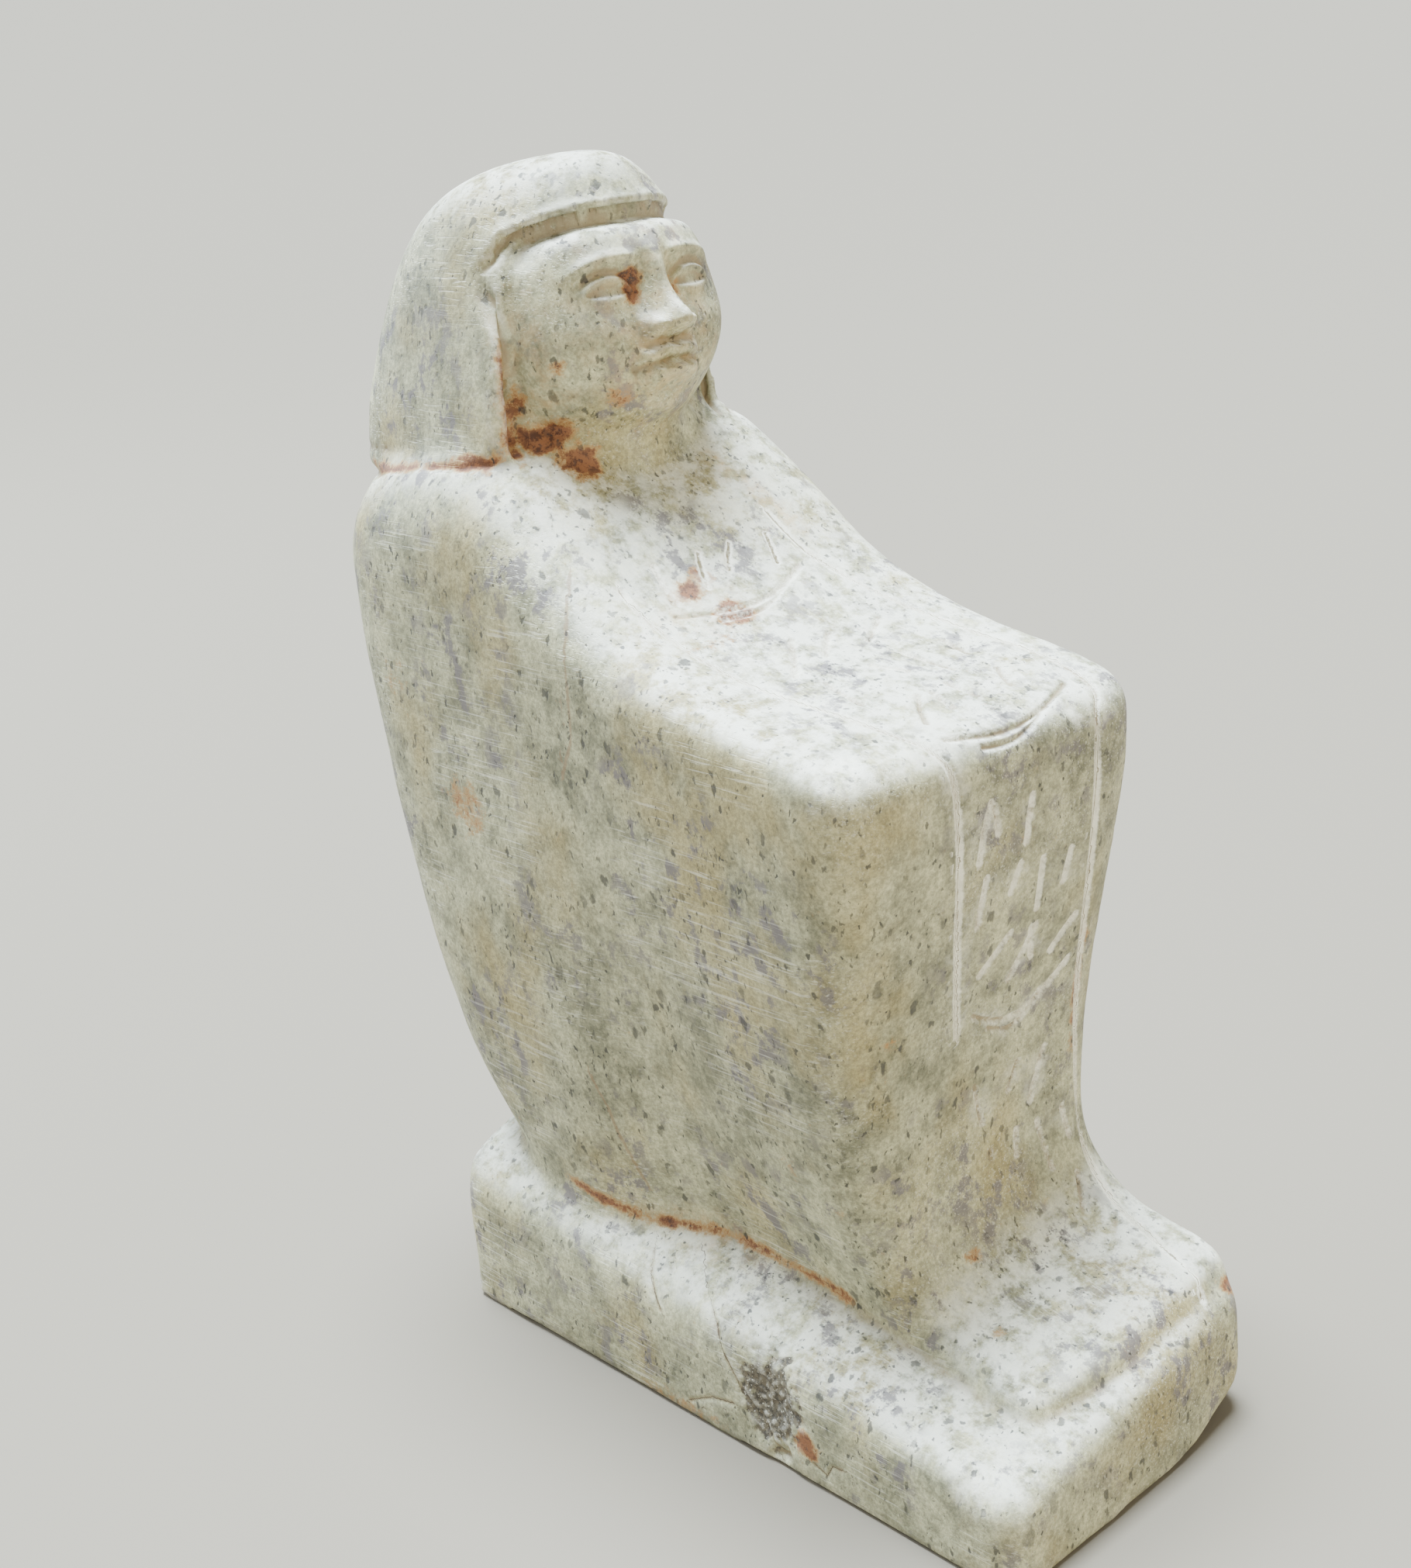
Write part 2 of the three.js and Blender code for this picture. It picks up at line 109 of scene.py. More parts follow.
def smooth_path(knots, steps=6):
    """A curve through the knots, as a list of points."""
    knots = [np.array(knot, float) for knot in knots]
    padded = [2 * knots[0] - knots[1]] + knots + [2 * knots[-1] - knots[-2]]
    points = []
    for a, b, c, d in zip(padded, padded[1:], padded[2:], padded[3:]):
        for step in range(steps):
            t = step / steps
            points.append(0.5 * (2 * b + (c - a) * t + (2 * a - 5 * b + 4 * c - d) * t ** 2
                                 + (3 * b - a - 3 * c + d) * t ** 3))
    return points + [knots[-1]]


# The band of strokes down the lap, the shins and the instep: y, z, and x of its two border lines
BAND = [
    (16.0, 105.4, -15.8, 11.0),
    (9.4, 100.5, -16.2, 12.2),
    (-6.0, 93.9, -14.4, 17.2),
    (-21.0, 90.9, -11.2, 19.4),
    (-28.6, 88.8, -9.1, 18.4),
    (-31.2, 85.8, -8.0, 16.4),
    (-30.8, 79.0, -6.9, 16.3),
    (-28.6, 66.0, -5.6, 16.9),
    (-25.9, 52.0, -3.5, 17.7),
    (-24.2, 35.0, -1.0, 19.2),
    (-27.5, 25.0, 0.5, 18.7),
    (-39.8, 20.4, 1.5, 16.4),
    (-45.2, 17.0, 2.0, 15.4),
]
BAND_STEPS = 8
RIGHT_BORDER = slice(6, 65)
BORDER_DEPTH = 0.42
BORDER_WIDTH = 0.42
STROKE_DEPTH = 0.6
STROKE_WIDTH = 0.42
ROW_SPACING = (9.4, 9.0, 8.8, 9.6)
BOW_GAP = 2.7


def band_curves():
    """Close points along the band, as y, z, and x of its right and left border."""
    return np.array(smooth_path(BAND, steps=BAND_STEPS))


def border_paths():
    """The two scratched lines that frame the strokes."""
    curve = band_curves()
    return [
        [(x, y, z) for y, z, x, _ in curve[RIGHT_BORDER]],
        [(x, y, z) for y, z, _, x in curve],
    ]


def stroke_paths():
    """Rows of slanted dashes and shallow bows between the borders. They spell nothing."""
    curve = band_curves()
    run = np.r_[0.0, np.cumsum(np.linalg.norm(np.diff(curve[:, :2], axis=0), axis=1))]
    draw = np.random.default_rng(14)

    def on_band(across, along):
        y, z, right, left = (np.interp(along, run, curve[:, i]) for i in range(4))
        return np.array((mix(right, left, across), y, z))

    def stroke(points):
        wobble = draw.normal(0.0, 0.006, len(points))
        return [on_band(across + shake, along) for (across, along), shake in zip(points, wobble)]

    paths = []
    along, row = 2.0, 0
    while along < run[-1] - 8.0:
        kind = row % len(ROW_SPACING)
        if kind in (0, 2):
            across = draw.uniform(0.1, 0.2)
            for _ in range(4 - kind // 2):
                lean, length = draw.uniform(-0.04, 0.22), draw.uniform(3.0, 7.2)
                low = along + draw.uniform(0.0, 1.6)
                dash = [(across + lean * t, low + length * (1.0 - t)) for t in (0.0, 0.5, 1.0)]
                paths.append(stroke(dash))
                across += draw.uniform(0.14, 0.24)
        elif kind == 1:
            sag = draw.uniform(2.6, 3.8)
            for inner in (0.0, BOW_GAP):
                right, left = 0.12 + 0.05 * inner, 0.88 - 0.08 * inner
                bow = []
                for t in np.linspace(0.0, 1.0, 9):
                    dip = (sag - 0.5 * inner) * math.sin(math.pi * t) - 2.0 * t
                    bow.append((mix(right, left, t), along + inner + dip))
                paths.append(stroke(bow))
        else:
            for across, length in ((0.2, 6.0), (0.44, 3.2), (0.62, 6.4), (0.84, 4.0)):
                lean, low = draw.uniform(-0.07, 0.07), along + draw.uniform(0.0, 2.0)
                paths.append(stroke([(across, low), (across + lean, low + length)]))
        along += ROW_SPACING[kind]
        row += 1
    return paths


# The face: plain and calm, in thirds from hairline to brow, brow to nose and nose to chin
FACE = {
    "centre": (0.0, 37.0, 129.5),
    "tilt": math.radians(16.0),
    "half_width": 17.6,
    "crown_rise": 17.5,
    "chin_drop": 16.8,
    "depth": 17.4,
    "fullness": 2.3,
    "jaw_narrowing": 0.16,
    "forehead_narrowing": 0.12,
    "brow": 2.8,
    "third": 8.8,
    "eye_width": 6.2,
    "eye_drop": 2.7,
    "mouth_drop": 2.9,
    "lip_reach": 4.7,
}

# The wig's opening round the face, and its lower rim
OPENING = {
    "lappet_front": 30.0,
    "turn": math.radians(2.9),
    "temple": 15.8,
    "cheek": 16.7,
    "hairline": 143.6,
    "hairline_drop": 4.2,
    "corner": 3.0,
}
FACE_SET_BACK = 1.3
FOREHEAD_SWELL = 0.9
RIM = {"height": 116.1, "slope": 0.13, "half_width": 19.9, "side": 31.0, "back": 38.0, "score_above": 2.6}


def to_face(points):
    """Places in the face's own frame: across, up the face, and out of it."""
    x, y, z = (points - np.array(FACE["centre"])).T
    sine, cosine = math.sin(FACE["tilt"]), math.cos(FACE["tilt"])
    return np.stack((x, y * sine + z * cosine, -y * cosine + z * sine), axis=1)


def from_face(places):
    """Places in the face's own frame, back in the statue's."""
    x, up, out = places.T
    sine, cosine = math.sin(FACE["tilt"]), math.cos(FACE["tilt"])
    turned = np.stack((x, up * sine - out * cosine, up * cosine + out * sine), axis=1)
    return turned + np.array(FACE["centre"])


def lid_curves(side):
    """Upper and lower edge of the eye at a place across it, from -1 at the nose to 1 outside."""
    arch = np.clip(1.0 - side ** 2, 0.0, 1.0)
    return 1.2 * arch ** 0.8 + 0.12 * side, -0.72 * arch + 0.12 * side


def features(x, y):
    """How far the features stand out of the plain mask, in millimetres."""
    across = np.abs(x)
    brow = FACE["brow"]
    nose_base = brow - FACE["third"]
    chin = nose_base - FACE["third"]
    eye = brow - FACE["eye_drop"]
    mouth = nose_base - FACE["mouth_drop"]
    eye_across = FACE["eye_width"] * 1.02

    brow_line = brow + 0.9 - 0.035 * (across - 5.6) ** 2
    brow_run = smoothstep(1.4, 3.4, across) * smoothstep(12.5, 9.0, across)
    height = 0.6 * hump(y - brow_line, 0.8) * brow_run
    height += 0.55 * hump(y - brow - 1.0, 3.0) * hump(across, 9.0)

    height -= 1.75 * hump(across - eye_across, 4.2) * hump(y - eye - 0.2, 2.5)
    height -= 0.7 * hump(across - 2.9, 1.4) * hump(y - eye - 0.4, 2.1)
    side = (across - eye_across) / (FACE["eye_width"] * 0.5)
    upper, lower = lid_curves(side)
    reach = smoothstep(1.25, 0.9, np.abs(side))
    lid_ball = 1.75 * hump(side, 1.15) * np.exp(-np.abs((y - eye) / 2.0) ** 2.4)
    open_eye = smoothstep(-0.1, 0.5, y - eye - lower) * smoothstep(-0.1, 0.5, upper - y + eye)
    open_eye *= smoothstep(1.04, 0.94, np.abs(side))
    upper_rim = 0.42 * hump(y - eye - upper - 0.3, 0.58) * reach
    lower_rim = 0.12 * hump(y - eye - lower + 0.25, 0.45) * reach
    crease = 0.35 * hump(y - eye - upper - 1.05, 0.3) * smoothstep(1.15, 0.8, np.abs(side))
    height += lid_ball + upper_rim + lower_rim - crease - 0.26 * open_eye

    down = np.clip((brow + 0.6 - y) / (FACE["third"] - 0.6), 0.0, 1.0)
    ridge = mix(1.5, 2.35, down)
    ends = smoothstep(nose_base - 0.8, nose_base + 0.5, y) * smoothstep(brow + 3.6, brow - 1.0, y)
    nose = mix(0.9, 4.1, down ** 1.1) * ends * np.exp(-(across / ridge) ** 2.3)
    tip = 0.75 * hump(across, 1.9) * hump(y - nose_base - 1.7, 1.5)
    wing = 1.7 * hump(across - 2.75, 1.05) * hump(y - nose_base - 1.2, 1.2)
    nostril = 0.9 * hump(across - 1.5, 0.65) * hump(y - nose_base + 0.1, 0.5)
    height += nose + tip + wing - nostril
    height -= 0.3 * hump(across - 4.2, 0.55) * hump(y - nose_base - 1.0, 1.3)

    height += 0.9 * hump(across - 8.8, 4.6) * hump(y - nose_base - 1.2, 4.4)
    muzzle = 1.2 * hump(across, 6.0) * hump(y - mouth, 4.2)
    philtrum = 0.3 * hump(across, 0.6) * hump(y - mouth - 2.5, 0.7)
    width = FACE["lip_reach"]
    run = np.clip(1.0 - (across / width) ** 2, 0.0, 1.0)
    bow = mouth + 0.95 + 0.25 * hump(across - 1.3, 0.9) - 0.3 * (across / width) ** 2
    upper_lip = 1.75 * np.exp(-np.abs((y - bow) / 1.0) ** 2.6) * run ** 0.6
    lower_lip = 1.95 * np.exp(-np.abs((y - mouth + 1.2) / 1.15) ** 2.6) * run ** 0.8
    line = 0.9 * hump(y - mouth + 0.1, 0.32) * smoothstep(width + 0.4, width - 0.9, across)
    corner = 0.5 * hump(across - width, 0.8) * hump(y - mouth, 0.9)
    under = 0.8 * hump(across, 4.4) * hump(y - mouth + 3.6, 1.0)
    height += muzzle + upper_lip + lower_lip - philtrum - line - corner - under
    height += 1.6 * hump(across, 4.4) * hump(y - chin - 2.3, 2.7)
    return height


def mask_depth(places, carved=1.0):
    """Depth of the face's surface at places in its frame, negative inside."""
    x, up, out = places.T
    jaw = FACE["jaw_narrowing"] * smoothstep(-2.0, -FACE["chin_drop"], up)
    forehead = FACE["forehead_narrowing"] * smoothstep(0.0, 12.0, up)
    rise = np.where(up > 0, FACE["crown_rise"], FACE["chin_drop"])
    power = FACE["fullness"]
    full = (np.abs(x) / (FACE["half_width"] * (1.0 - jaw - forehead))) ** power
    full = full + (np.abs(up) / rise) ** power + (np.abs(out) / FACE["depth"]) ** power
    depth = (full ** (1.0 / power) - 1.0) * FACE["depth"]
    return depth - carved * features(x, up) * smoothstep(2.0, 9.0, out)


def onto_face(points):
    """The points moved along rays from the face's middle onto its carved surface."""
    places = to_face(points)
    reach = np.linalg.norm(places, axis=1)
    direction = places / reach[:, None]
    near, far = reach - 4.0, reach + 4.0
    for _ in range(18):
        middle = (near + far) / 2.0
        inside = mask_depth(direction * middle[:, None]) < 0
        near, far = np.where(inside, middle, near), np.where(inside, far, middle)
    return from_face(direction * near[:, None])


def lappet_edge(x):
    """How far forward the wig's front edge stands beside the face, as a y."""
    return OPENING["lappet_front"] + math.tan(OPENING["turn"]) * x


def below_hairline(points):
    """How far below the hairline each point lies."""
    x, _, z = points.T
    sinking = OPENING["hairline_drop"] * (np.abs(x) / OPENING["temple"]) ** 3.0
    return OPENING["hairline"] - sinking - z


def edge_gap(points):
    """How far inside the wig's edge each point lies, seen from the front."""
    x, _, z = points.T
    side = mix(OPENING["cheek"], OPENING["temple"], smoothstep(137.0, 139.4, z))
    below, within = below_hairline(points), side - np.abs(x)
    corner = OPENING["corner"]
    rounding = np.clip(corner - np.abs(below - within), 0.0, None)
    return np.minimum(below, within) - rounding ** 2 / (4.0 * corner)


def face_share(points):
    """1 well inside the wig's opening, falling to 0 at its edge."""
    x, y, _ = points.T
    places = to_face(points)
    lappet = lappet_edge(x)
    front = smoothstep(lappet + 1.6, lappet - 0.6, y)
    reach = mix(0.9, 3.4, smoothstep(14.5, 10.0, np.abs(x)))
    close = smoothstep(1.5, 0.9, np.abs(mask_depth(places)) / reach)
    throat = smoothstep(-15.5, -13.5, places[:, 1])
    return smoothstep(0.0, 0.7, edge_gap(points)) * front * close * throat


# Damage and stains on the stone: lines as lists of points, patches as middle, reach and strength
CHIP = ((-24.8, -12.6, 8.2), (4.0, 4.6, 6.4), 1.0)
CHIP_DEPTH = 0.78
NOTCH = ((-25.2, -13.9, 0.4), (2.4, 2.2, 2.4), 1.0)
NOTCH_DEPTH = 1.2
CRACK_DEPTH = 0.2
BRUISE_DEPTH = 0.18
CRACKS = [
    [(-18.3, 5.4, 19.8), (-21.5, 1.4, 17.9), (-23.8, -2.8, 15.0), (-24.8, -5.6, 11.0),
     (-24.9, -8.2, 7.6), (-24.9, -11.2, 4.4), (-24.7, -13.5, 1.3)],
    [(-20.4, 12.0, 19.4), (-23.6, 9.6, 16.8), (-25.0, 6.5, 13.3)],
    [(-25.0, 2.1, 2.4), (-24.9, -2.0, 4.6), (-24.8, -5.9, 5.5)],
    [(-24.6, -19.5, 3.2), (-24.5, -21.4, 2.5), (-24.4, -22.4, 4.2), (-24.4, -23.9, 4.4)],
]
FOOT_LINE = [
    (-13.7, -10.0, 18.2), (-13.7, -17.0, 17.3), (-13.7, -22.6, 16.6), (-13.7, -31.0, 15.2),
    (-13.6, -37.0, 13.9), (-13.2, -41.0, 13.4), (-11.8, -43.4, 13.4), (-9.0, -44.2, 13.7),
    (-2.0, -45.1, 14.4), (6.0, -45.4, 15.4), (12.0, -45.4, 16.6),
]
FOOT_LINE_DEPTH = 0.55
VEINS = [
    [(-20.5, 15.3, 104.5), (-24.6, 11.8, 98.6), (-25.4, 11.4, 92.5), (-25.6, 11.7, 87.0),
     (-25.3, 14.4, 81.7)],
    [(-23.2, 18.3, 41.3), (-22.4, 16.4, 36.6), (-21.4, 15.7, 32.3), (-19.4, 13.8, 25.6)],
]
RUST = [
    ((-16.0, 29.6, 119.5), (2.4, 3.4, 5.0), 1.0),
    ((-12.5, 29.0, 117.6), (5.0, 4.0, 2.4), 1.0),
    ((-9.6, 26.6, 114.2), (3.6, 3.4, 2.8), 0.95),
    ((-19.4, 33.0, 115.6), (2.4, 5.0, 1.6), 0.8),
    ((-8.2, 9.2, 100.4), (2.4, 2.4, 2.0), 0.85),
    ((-5.4, 4.6, 98.0), (2.8, 2.4, 2.0), 0.95),
    ((-4.4, 11.0, 101.8), (1.6, 1.6, 2.0), 0.7),
    ((-11.5, 1.5, 96.4), (4.0, 1.4, 1.5), 0.4),
    ((21.6, -45.3, 16.6), (2.6, 1.8, 2.0), 0.9),
    ((-24.6, -18.2, 5.2), (1.4, 2.0, 2.4), 1.0),
    ((-25.4, 35.5, 74.0), (2.0, 5.0, 4.5), 0.45),
    ((-22.0, 48.0, 88.0), (5.0, 4.0, 6.0), 0.35),
    ((-3.0, 22.0, 134.6), (1.9, 3.4, 2.3), 0.95),
    ((3.0, 22.0, 133.6), (1.5, 3.0, 1.6), 0.6),
    ((-6.0, 20.6, 121.6), (2.0, 2.6, 2.0), 0.55),
    ((-12.6, 24.2, 126.4), (1.0, 2.0, 1.2), 0.6),
    ((-17.8, -13.0, 37.6), (2.0, 2.2, 1.8), 0.45),
    ((-16.0, -19.0, 33.0), (2.0, 1.6, 1.2), 0.4),
    ((-3.0, -26.7, 23.9), (1.6, 1.8, 1.2), 0.5),
    ((-7.1, -33.5, 19.3), (1.4, 1.4, 1.2), 0.6),
    ((-14.8, -26.5, 55.3), (1.2, 1.2, 1.0), 0.5),
    ((17.6, -25.8, 50.0), (1.0, 2.5, 10.0), 0.75),
    ((-24.9, 4.0, 1.0), (1.4, 10.0, 1.6), 0.35),
]
RUST_LINES = [
    [(-21.5, 27.0, 23.0), (-20.9, 22.0, 21.9), (-20.2, 18.8, 21.3), (-18.3, 13.5, 20.4),
     (-16.4, 8.0, 20.7), (-14.6, 2.9, 20.8), (-14.2, -3.0, 20.3), (-14.1, -8.9, 19.8),
     (-13.9, -16.0, 18.9)],
    [(-16.9, 29.2, 133.0), (-17.1, 29.2, 126.0), (-17.0, 29.4, 119.0), (-13.5, 29.6, 117.0)],
    [(-18.6, 29.0, 116.4), (-20.6, 34.0, 115.6), (-20.8, 40.0, 114.8), (-20.2, 50.0, 113.6),
     (-17.0, 60.0, 112.6)],
]
OCHRE = [
    ((8.8, 22.6, 111.0), (2.2, 3.0, 3.0), 0.8),
    ((11.5, 18.7, 108.0), (1.8, 3.0, 3.0), 0.9),
    ((13.5, 14.6, 104.6), (1.6, 3.4, 3.0), 0.8),
    ((0.0, 20.6, 129.0), (13.0, 9.0, 13.0), 0.5),
    ((0.0, 18.0, 123.5), (6.5, 4.0, 4.5), 0.8),
    ((-12.0, 28.0, 126.0), (6.0, 5.0, 11.0), 0.6),
    ((-9.0, 5.0, 99.0), (9.0, 8.0, 4.0), 0.5),
    ((-17.0, 8.0, 21.0), (4.5, 14.0, 3.0), 0.5),
]
BRUISES = [
    ((-21.8, -27.4, 89.2), (4.2, 3.2, 2.4), 1.0),
    ((-13.0, -30.2, 88.4), (7.0, 2.0, 1.4), 0.6),
    ((13.0, -31.0, 87.4), (1.6, 1.6, 2.4), 0.9),
    ((-24.4, 10.0, 17.6), (1.8, 14.0, 1.6), 0.5),
    ((-23.2, -44.0, 11.0), (2.6, 3.0, 2.6), 0.8),
    ((-6.0, -46.0, 16.4), (9.0, 1.6, 1.2), 0.5),
]
DARK_SPOTS = [
    ((-3.2, 22.0, 135.0), (1.2, 2.4, 1.5), 1.0),
    ((-24.3, -1.4, 69.6), (1.6, 1.5, 1.3), 0.8),
    ((-24.4, 11.6, 99.5), (1.4, 0.8, 1.2), 0.7),
    ((-25.3, 30.1, 107.0), (1.5, 0.6, 1.8), 0.7),
    ((-25.7, 42.1, 101.9), (1.5, 0.8, 0.9), 0.5),
    ((-18.8, 29.8, 124.0), (1.2, 1.0, 1.2), 0.7),
]

# Unevenness of the rubbed stone and crumbs in the break, as height, size and seed
BROAD_WAVES = ((0.2, 17.0, 1), (0.09, 6.0, 2))
FINE_WAVES = ((0.03, 2.0, 4), (0.012, 0.9, 5))
CRUMBS = ((0.35, 1.1, 31), (0.2, 0.55, 32))
RUBBED_DOWN = 0.12
BROAD_RUBS = 24
LAST_RUBS = 2


def patches(points, places, rough=0.35, seed=3):
    """Blotches with ragged edges, strongest in their middle."""
    ragged = waves(points, ((rough, 1.6, seed), (rough * 0.6, 0.7, seed + 1)))
    total = np.zeros(len(points))
    for middle, reach, strength in places:
        gap = np.linalg.norm((points - np.array(middle)) / np.array(reach), axis=1)
        total = np.maximum(total, strength * smoothstep(1.35, 0.25, gap + ragged))
    return total


def near_path(points, path, margin):
    """Which points lie in the box round a path."""
    corners = np.array(path)
    low, high = corners.min(axis=0) - margin, corners.max(axis=0) + margin
    return np.flatnonzero(np.all((points > low) & (points < high), axis=1))


def line_sides(points, normals, paths):
    """Distance to the nearest path, counted negative on its right side, within 2 mm."""
    nearest = np.full(len(points), 2.0)
    for path in paths:
        near, corners = near_path(points, path, 2.0), np.array(path)
        for start, end in zip(corners[:-1], corners[1:]):
            along = end - start
            offset = points[near] - start
            share = np.clip(offset @ along / (along @ along), 0.0, 1.0)
            gap = np.linalg.norm(offset - share[:, None] * along, axis=1)
            side = np.sign(np.einsum("ij,ij->i", np.cross(along, offset), normals[near]))
            closer = gap < np.abs(nearest[near])
            nearest[near[closer]] = (gap * side)[closer]
    return nearest


def line_strength(points, paths, width, margin=3.0):
    """How strongly each point belongs to a scratched line, from 0 to 1."""
    strength = np.zeros(len(points))
    for path in paths:
        near = near_path(points, path, margin)
        if len(near):
            strength[near] = np.maximum(strength[near], hump(to_path(points[near], path), width))
    return strength


# Reading and writing mesh points

def read(items, name, width, kind=float):
    """One row of values for each of a mesh's items."""
    values = np.empty(len(items) * width, kind)
    items.foreach_get(name, values)
    return values.reshape(-1, width)


def mesh_points(mesh):
    return read(mesh.vertices, "co", 3) / MM


def mesh_normals(mesh):
    return read(mesh.vertex_normals, "vector", 3)


def mesh_edges(mesh):
    return read(mesh.edges, "vertices", 2, int)


def set_points(mesh, points):
    mesh.vertices.foreach_set("co", (points * MM).ravel())
    mesh.update()


def neighbour_mean(values, edges):
    """Mean of each vertex's neighbours."""
    count = np.bincount(edges.ravel(), minlength=len(values)).astype(float)
    columns = []
    for column in np.atleast_2d(values.T):
        total = np.bincount(edges[:, 0], column[edges[:, 1]], len(values))
        total += np.bincount(edges[:, 1], column[edges[:, 0]], len(values))
        columns.append(total / np.maximum(count, 1.0))
    result = np.stack(columns, axis=1)
    return result if values.ndim == 2 else result[:, 0]


def select_only(piece):
    bpy.ops.object.select_all(action="DESELECT")
    piece.select_set(True)
    bpy.context.view_layer.objects.active = piece


def apply_modifier(piece, kind, **values):
    select_only(piece)
    bpy.ops.object.modifier_add(type=kind)
    modifier = piece.modifiers[-1]
    for name, value in values.items():
        setattr(modifier, name, value)
    bpy.ops.object.modifier_apply(modifier=modifier.name)


def store(mesh, name, values):
    attribute = mesh.attributes.new(name, "FLOAT", "POINT")
    attribute.data.foreach_set("value", np.clip(values, 0.0, 1.0).astype(np.float32))


# Steps of the carving

def start_block(sizes):
    """A fine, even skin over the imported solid."""
    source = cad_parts[NODE]
    mesh = source.data.copy()
    mesh.materials.clear()
    piece = bpy.data.objects.new("carved_statue", mesh)
    bpy.context.scene.collection.objects.link(piece)
    select_only(piece)
    bpy.ops.object.mode_set(mode="EDIT")
    bpy.ops.mesh.select_all(action="SELECT")
    bpy.ops.mesh.remove_doubles(threshold=1e-6)
    bpy.ops.object.mode_set(mode="OBJECT")
    apply_modifier(piece, "REMESH", mode="VOXEL", voxel_size=sizes.skin)
    return piece


def rub_smooth(piece):
    """Rubs the broad faces smooth, and the face only a little."""
    points = mesh_points(piece.data)
    head = smoothstep(116.0, 120.0, points[:, 2])
    edge = smoothstep(4.0, 2.0, np.abs(edge_gap(points))) * smoothstep(36.0, 33.0, points[:, 1])
    inside = smoothstep(-1.0, 1.0, edge_gap(points)) * smoothstep(34.0, 30.0, points[:, 1])
    opening = np.maximum(edge, inside) * head
    under = smoothstep(2.4, 0.8, points[:, 2])
    broad = piece.vertex_groups.new(name="broad")
    foot = np.minimum(1.3 * line_strength(points, [FOOT_LINE], 3.2, margin=8.0), 1.0)
    weights = np.round((1.0 - opening) * (1.0 - under) * (1.0 - foot), 1)
    for weight in np.unique(weights):
        broad.add(np.flatnonzero(weights == weight).tolist(), float(weight), "REPLACE")
    apply_modifier(piece, "SMOOTH", factor=0.5, iterations=BROAD_RUBS, vertex_group="broad")
    apply_modifier(piece, "SMOOTH", factor=0.5, iterations=LAST_RUBS)
    piece.vertex_groups.clear()
    points = mesh_points(piece.data)
    points[:, 2] = np.maximum(points[:, 2], 0.0)
    points[points[:, 2] < 0.35, 2] = 0.0
    set_points(piece.data, points)


def refine(piece, wanted):
    """Splits the faces at the wanted vertices for crisp carving."""
    mesh = piece.data
    select_only(piece)
    bpy.ops.object.mode_set(mode="EDIT")
    bpy.ops.mesh.select_mode(type="VERT")
    bpy.ops.mesh.select_all(action="DESELECT")
    bpy.ops.object.mode_set(mode="OBJECT")
    mesh.vertices.foreach_set("select", wanted)
    bpy.ops.object.mode_set(mode="EDIT")
    bpy.ops.mesh.select_mode(type="VERT")
    bpy.ops.mesh.subdivide(number_cuts=3, smoothness=0.0)
    bpy.ops.object.mode_set(mode="OBJECT")


def carve(piece, sizes):
    """Cuts face, wig edge, borders, strokes, cracks and chips into the skin."""
    mesh = piece.data
    borders, strokes = border_paths(), stroke_paths()
    points = mesh_points(mesh)
    wanted = line_strength(points, borders + strokes + CRACKS, 1.0) > 0.22
    wanted |= patches(points, [CHIP], rough=0.0) > 0.02
    wanted |= (face_share(points) > 0.0) | (np.abs(wig_groove(points)) > 0.05)
    refine(piece, wanted)

    points = mesh_points(mesh)
    set_face(points)
    set_points(mesh, points)

    normals = mesh_normals(mesh)
    lift = unevenness(points)
    lift -= sizes.border_depth / MM * line_strength(points, borders, BORDER_WIDTH)
    wander = 0.75 + 0.25 * cloud(points, 2.2, 8)
    lift -= sizes.stroke_depth / MM * line_strength(points, strokes, STROKE_WIDTH) * wander
    lift -= CRACK_DEPTH * line_strength(points, CRACKS, 0.3)
    lift -= wig_groove(points) + foot_ledge(points)
    lift -= patches(points, BRUISES, seed=27) * (BRUISE_DEPTH + 0.16 * cloud(points, 1.4, 33))
    broken = patches(points, [CHIP], rough=0.25, seed=21)
    lift -= broken * (CHIP_DEPTH + waves(points, CRUMBS))
    lift -= NOTCH_DEPTH * patches(points, [NOTCH], rough=0.2, seed=23)
    standing = smoothstep(0.2, 1.6, points[:, 2])
    set_points(mesh, points + normals * (lift * standing)[:, None])


def set_face(points):
    """Moves the points inside the wig's opening onto the face, set back at the wig's edge."""
    share = face_share(points)
    inside = np.flatnonzero(share > 0.0)
    near, share = points[inside], share[inside]
    near += (onto_face(near) - near) * share[:, None]
    sunk = FACE_SET_BACK * share * smoothstep(3.6, 0.3, edge_gap(near))
    below = below_hairline(near)
    raised = smoothstep(0.8, 2.8, below) * smoothstep(10.0, 4.0, below)
    sunk -= FOREHEAD_SWELL * share * raised * smoothstep(14.0, 8.0, np.abs(near[:, 0]))
    inward = np.array(FACE["centre"]) - near
    points[inside] = near + inward / np.linalg.norm(inward, axis=1)[:, None] * sunk[:, None]


def unevenness(points):
    """Hand-rubbed stone is never quite true."""
    broad, fine = waves(points, BROAD_WAVES), waves(points, FINE_WAVES)
    face = face_share(points)
    return broad * (1.0 - 0.8 * face) + fine * (1.0 - 0.5 * face) - RUBBED_DOWN


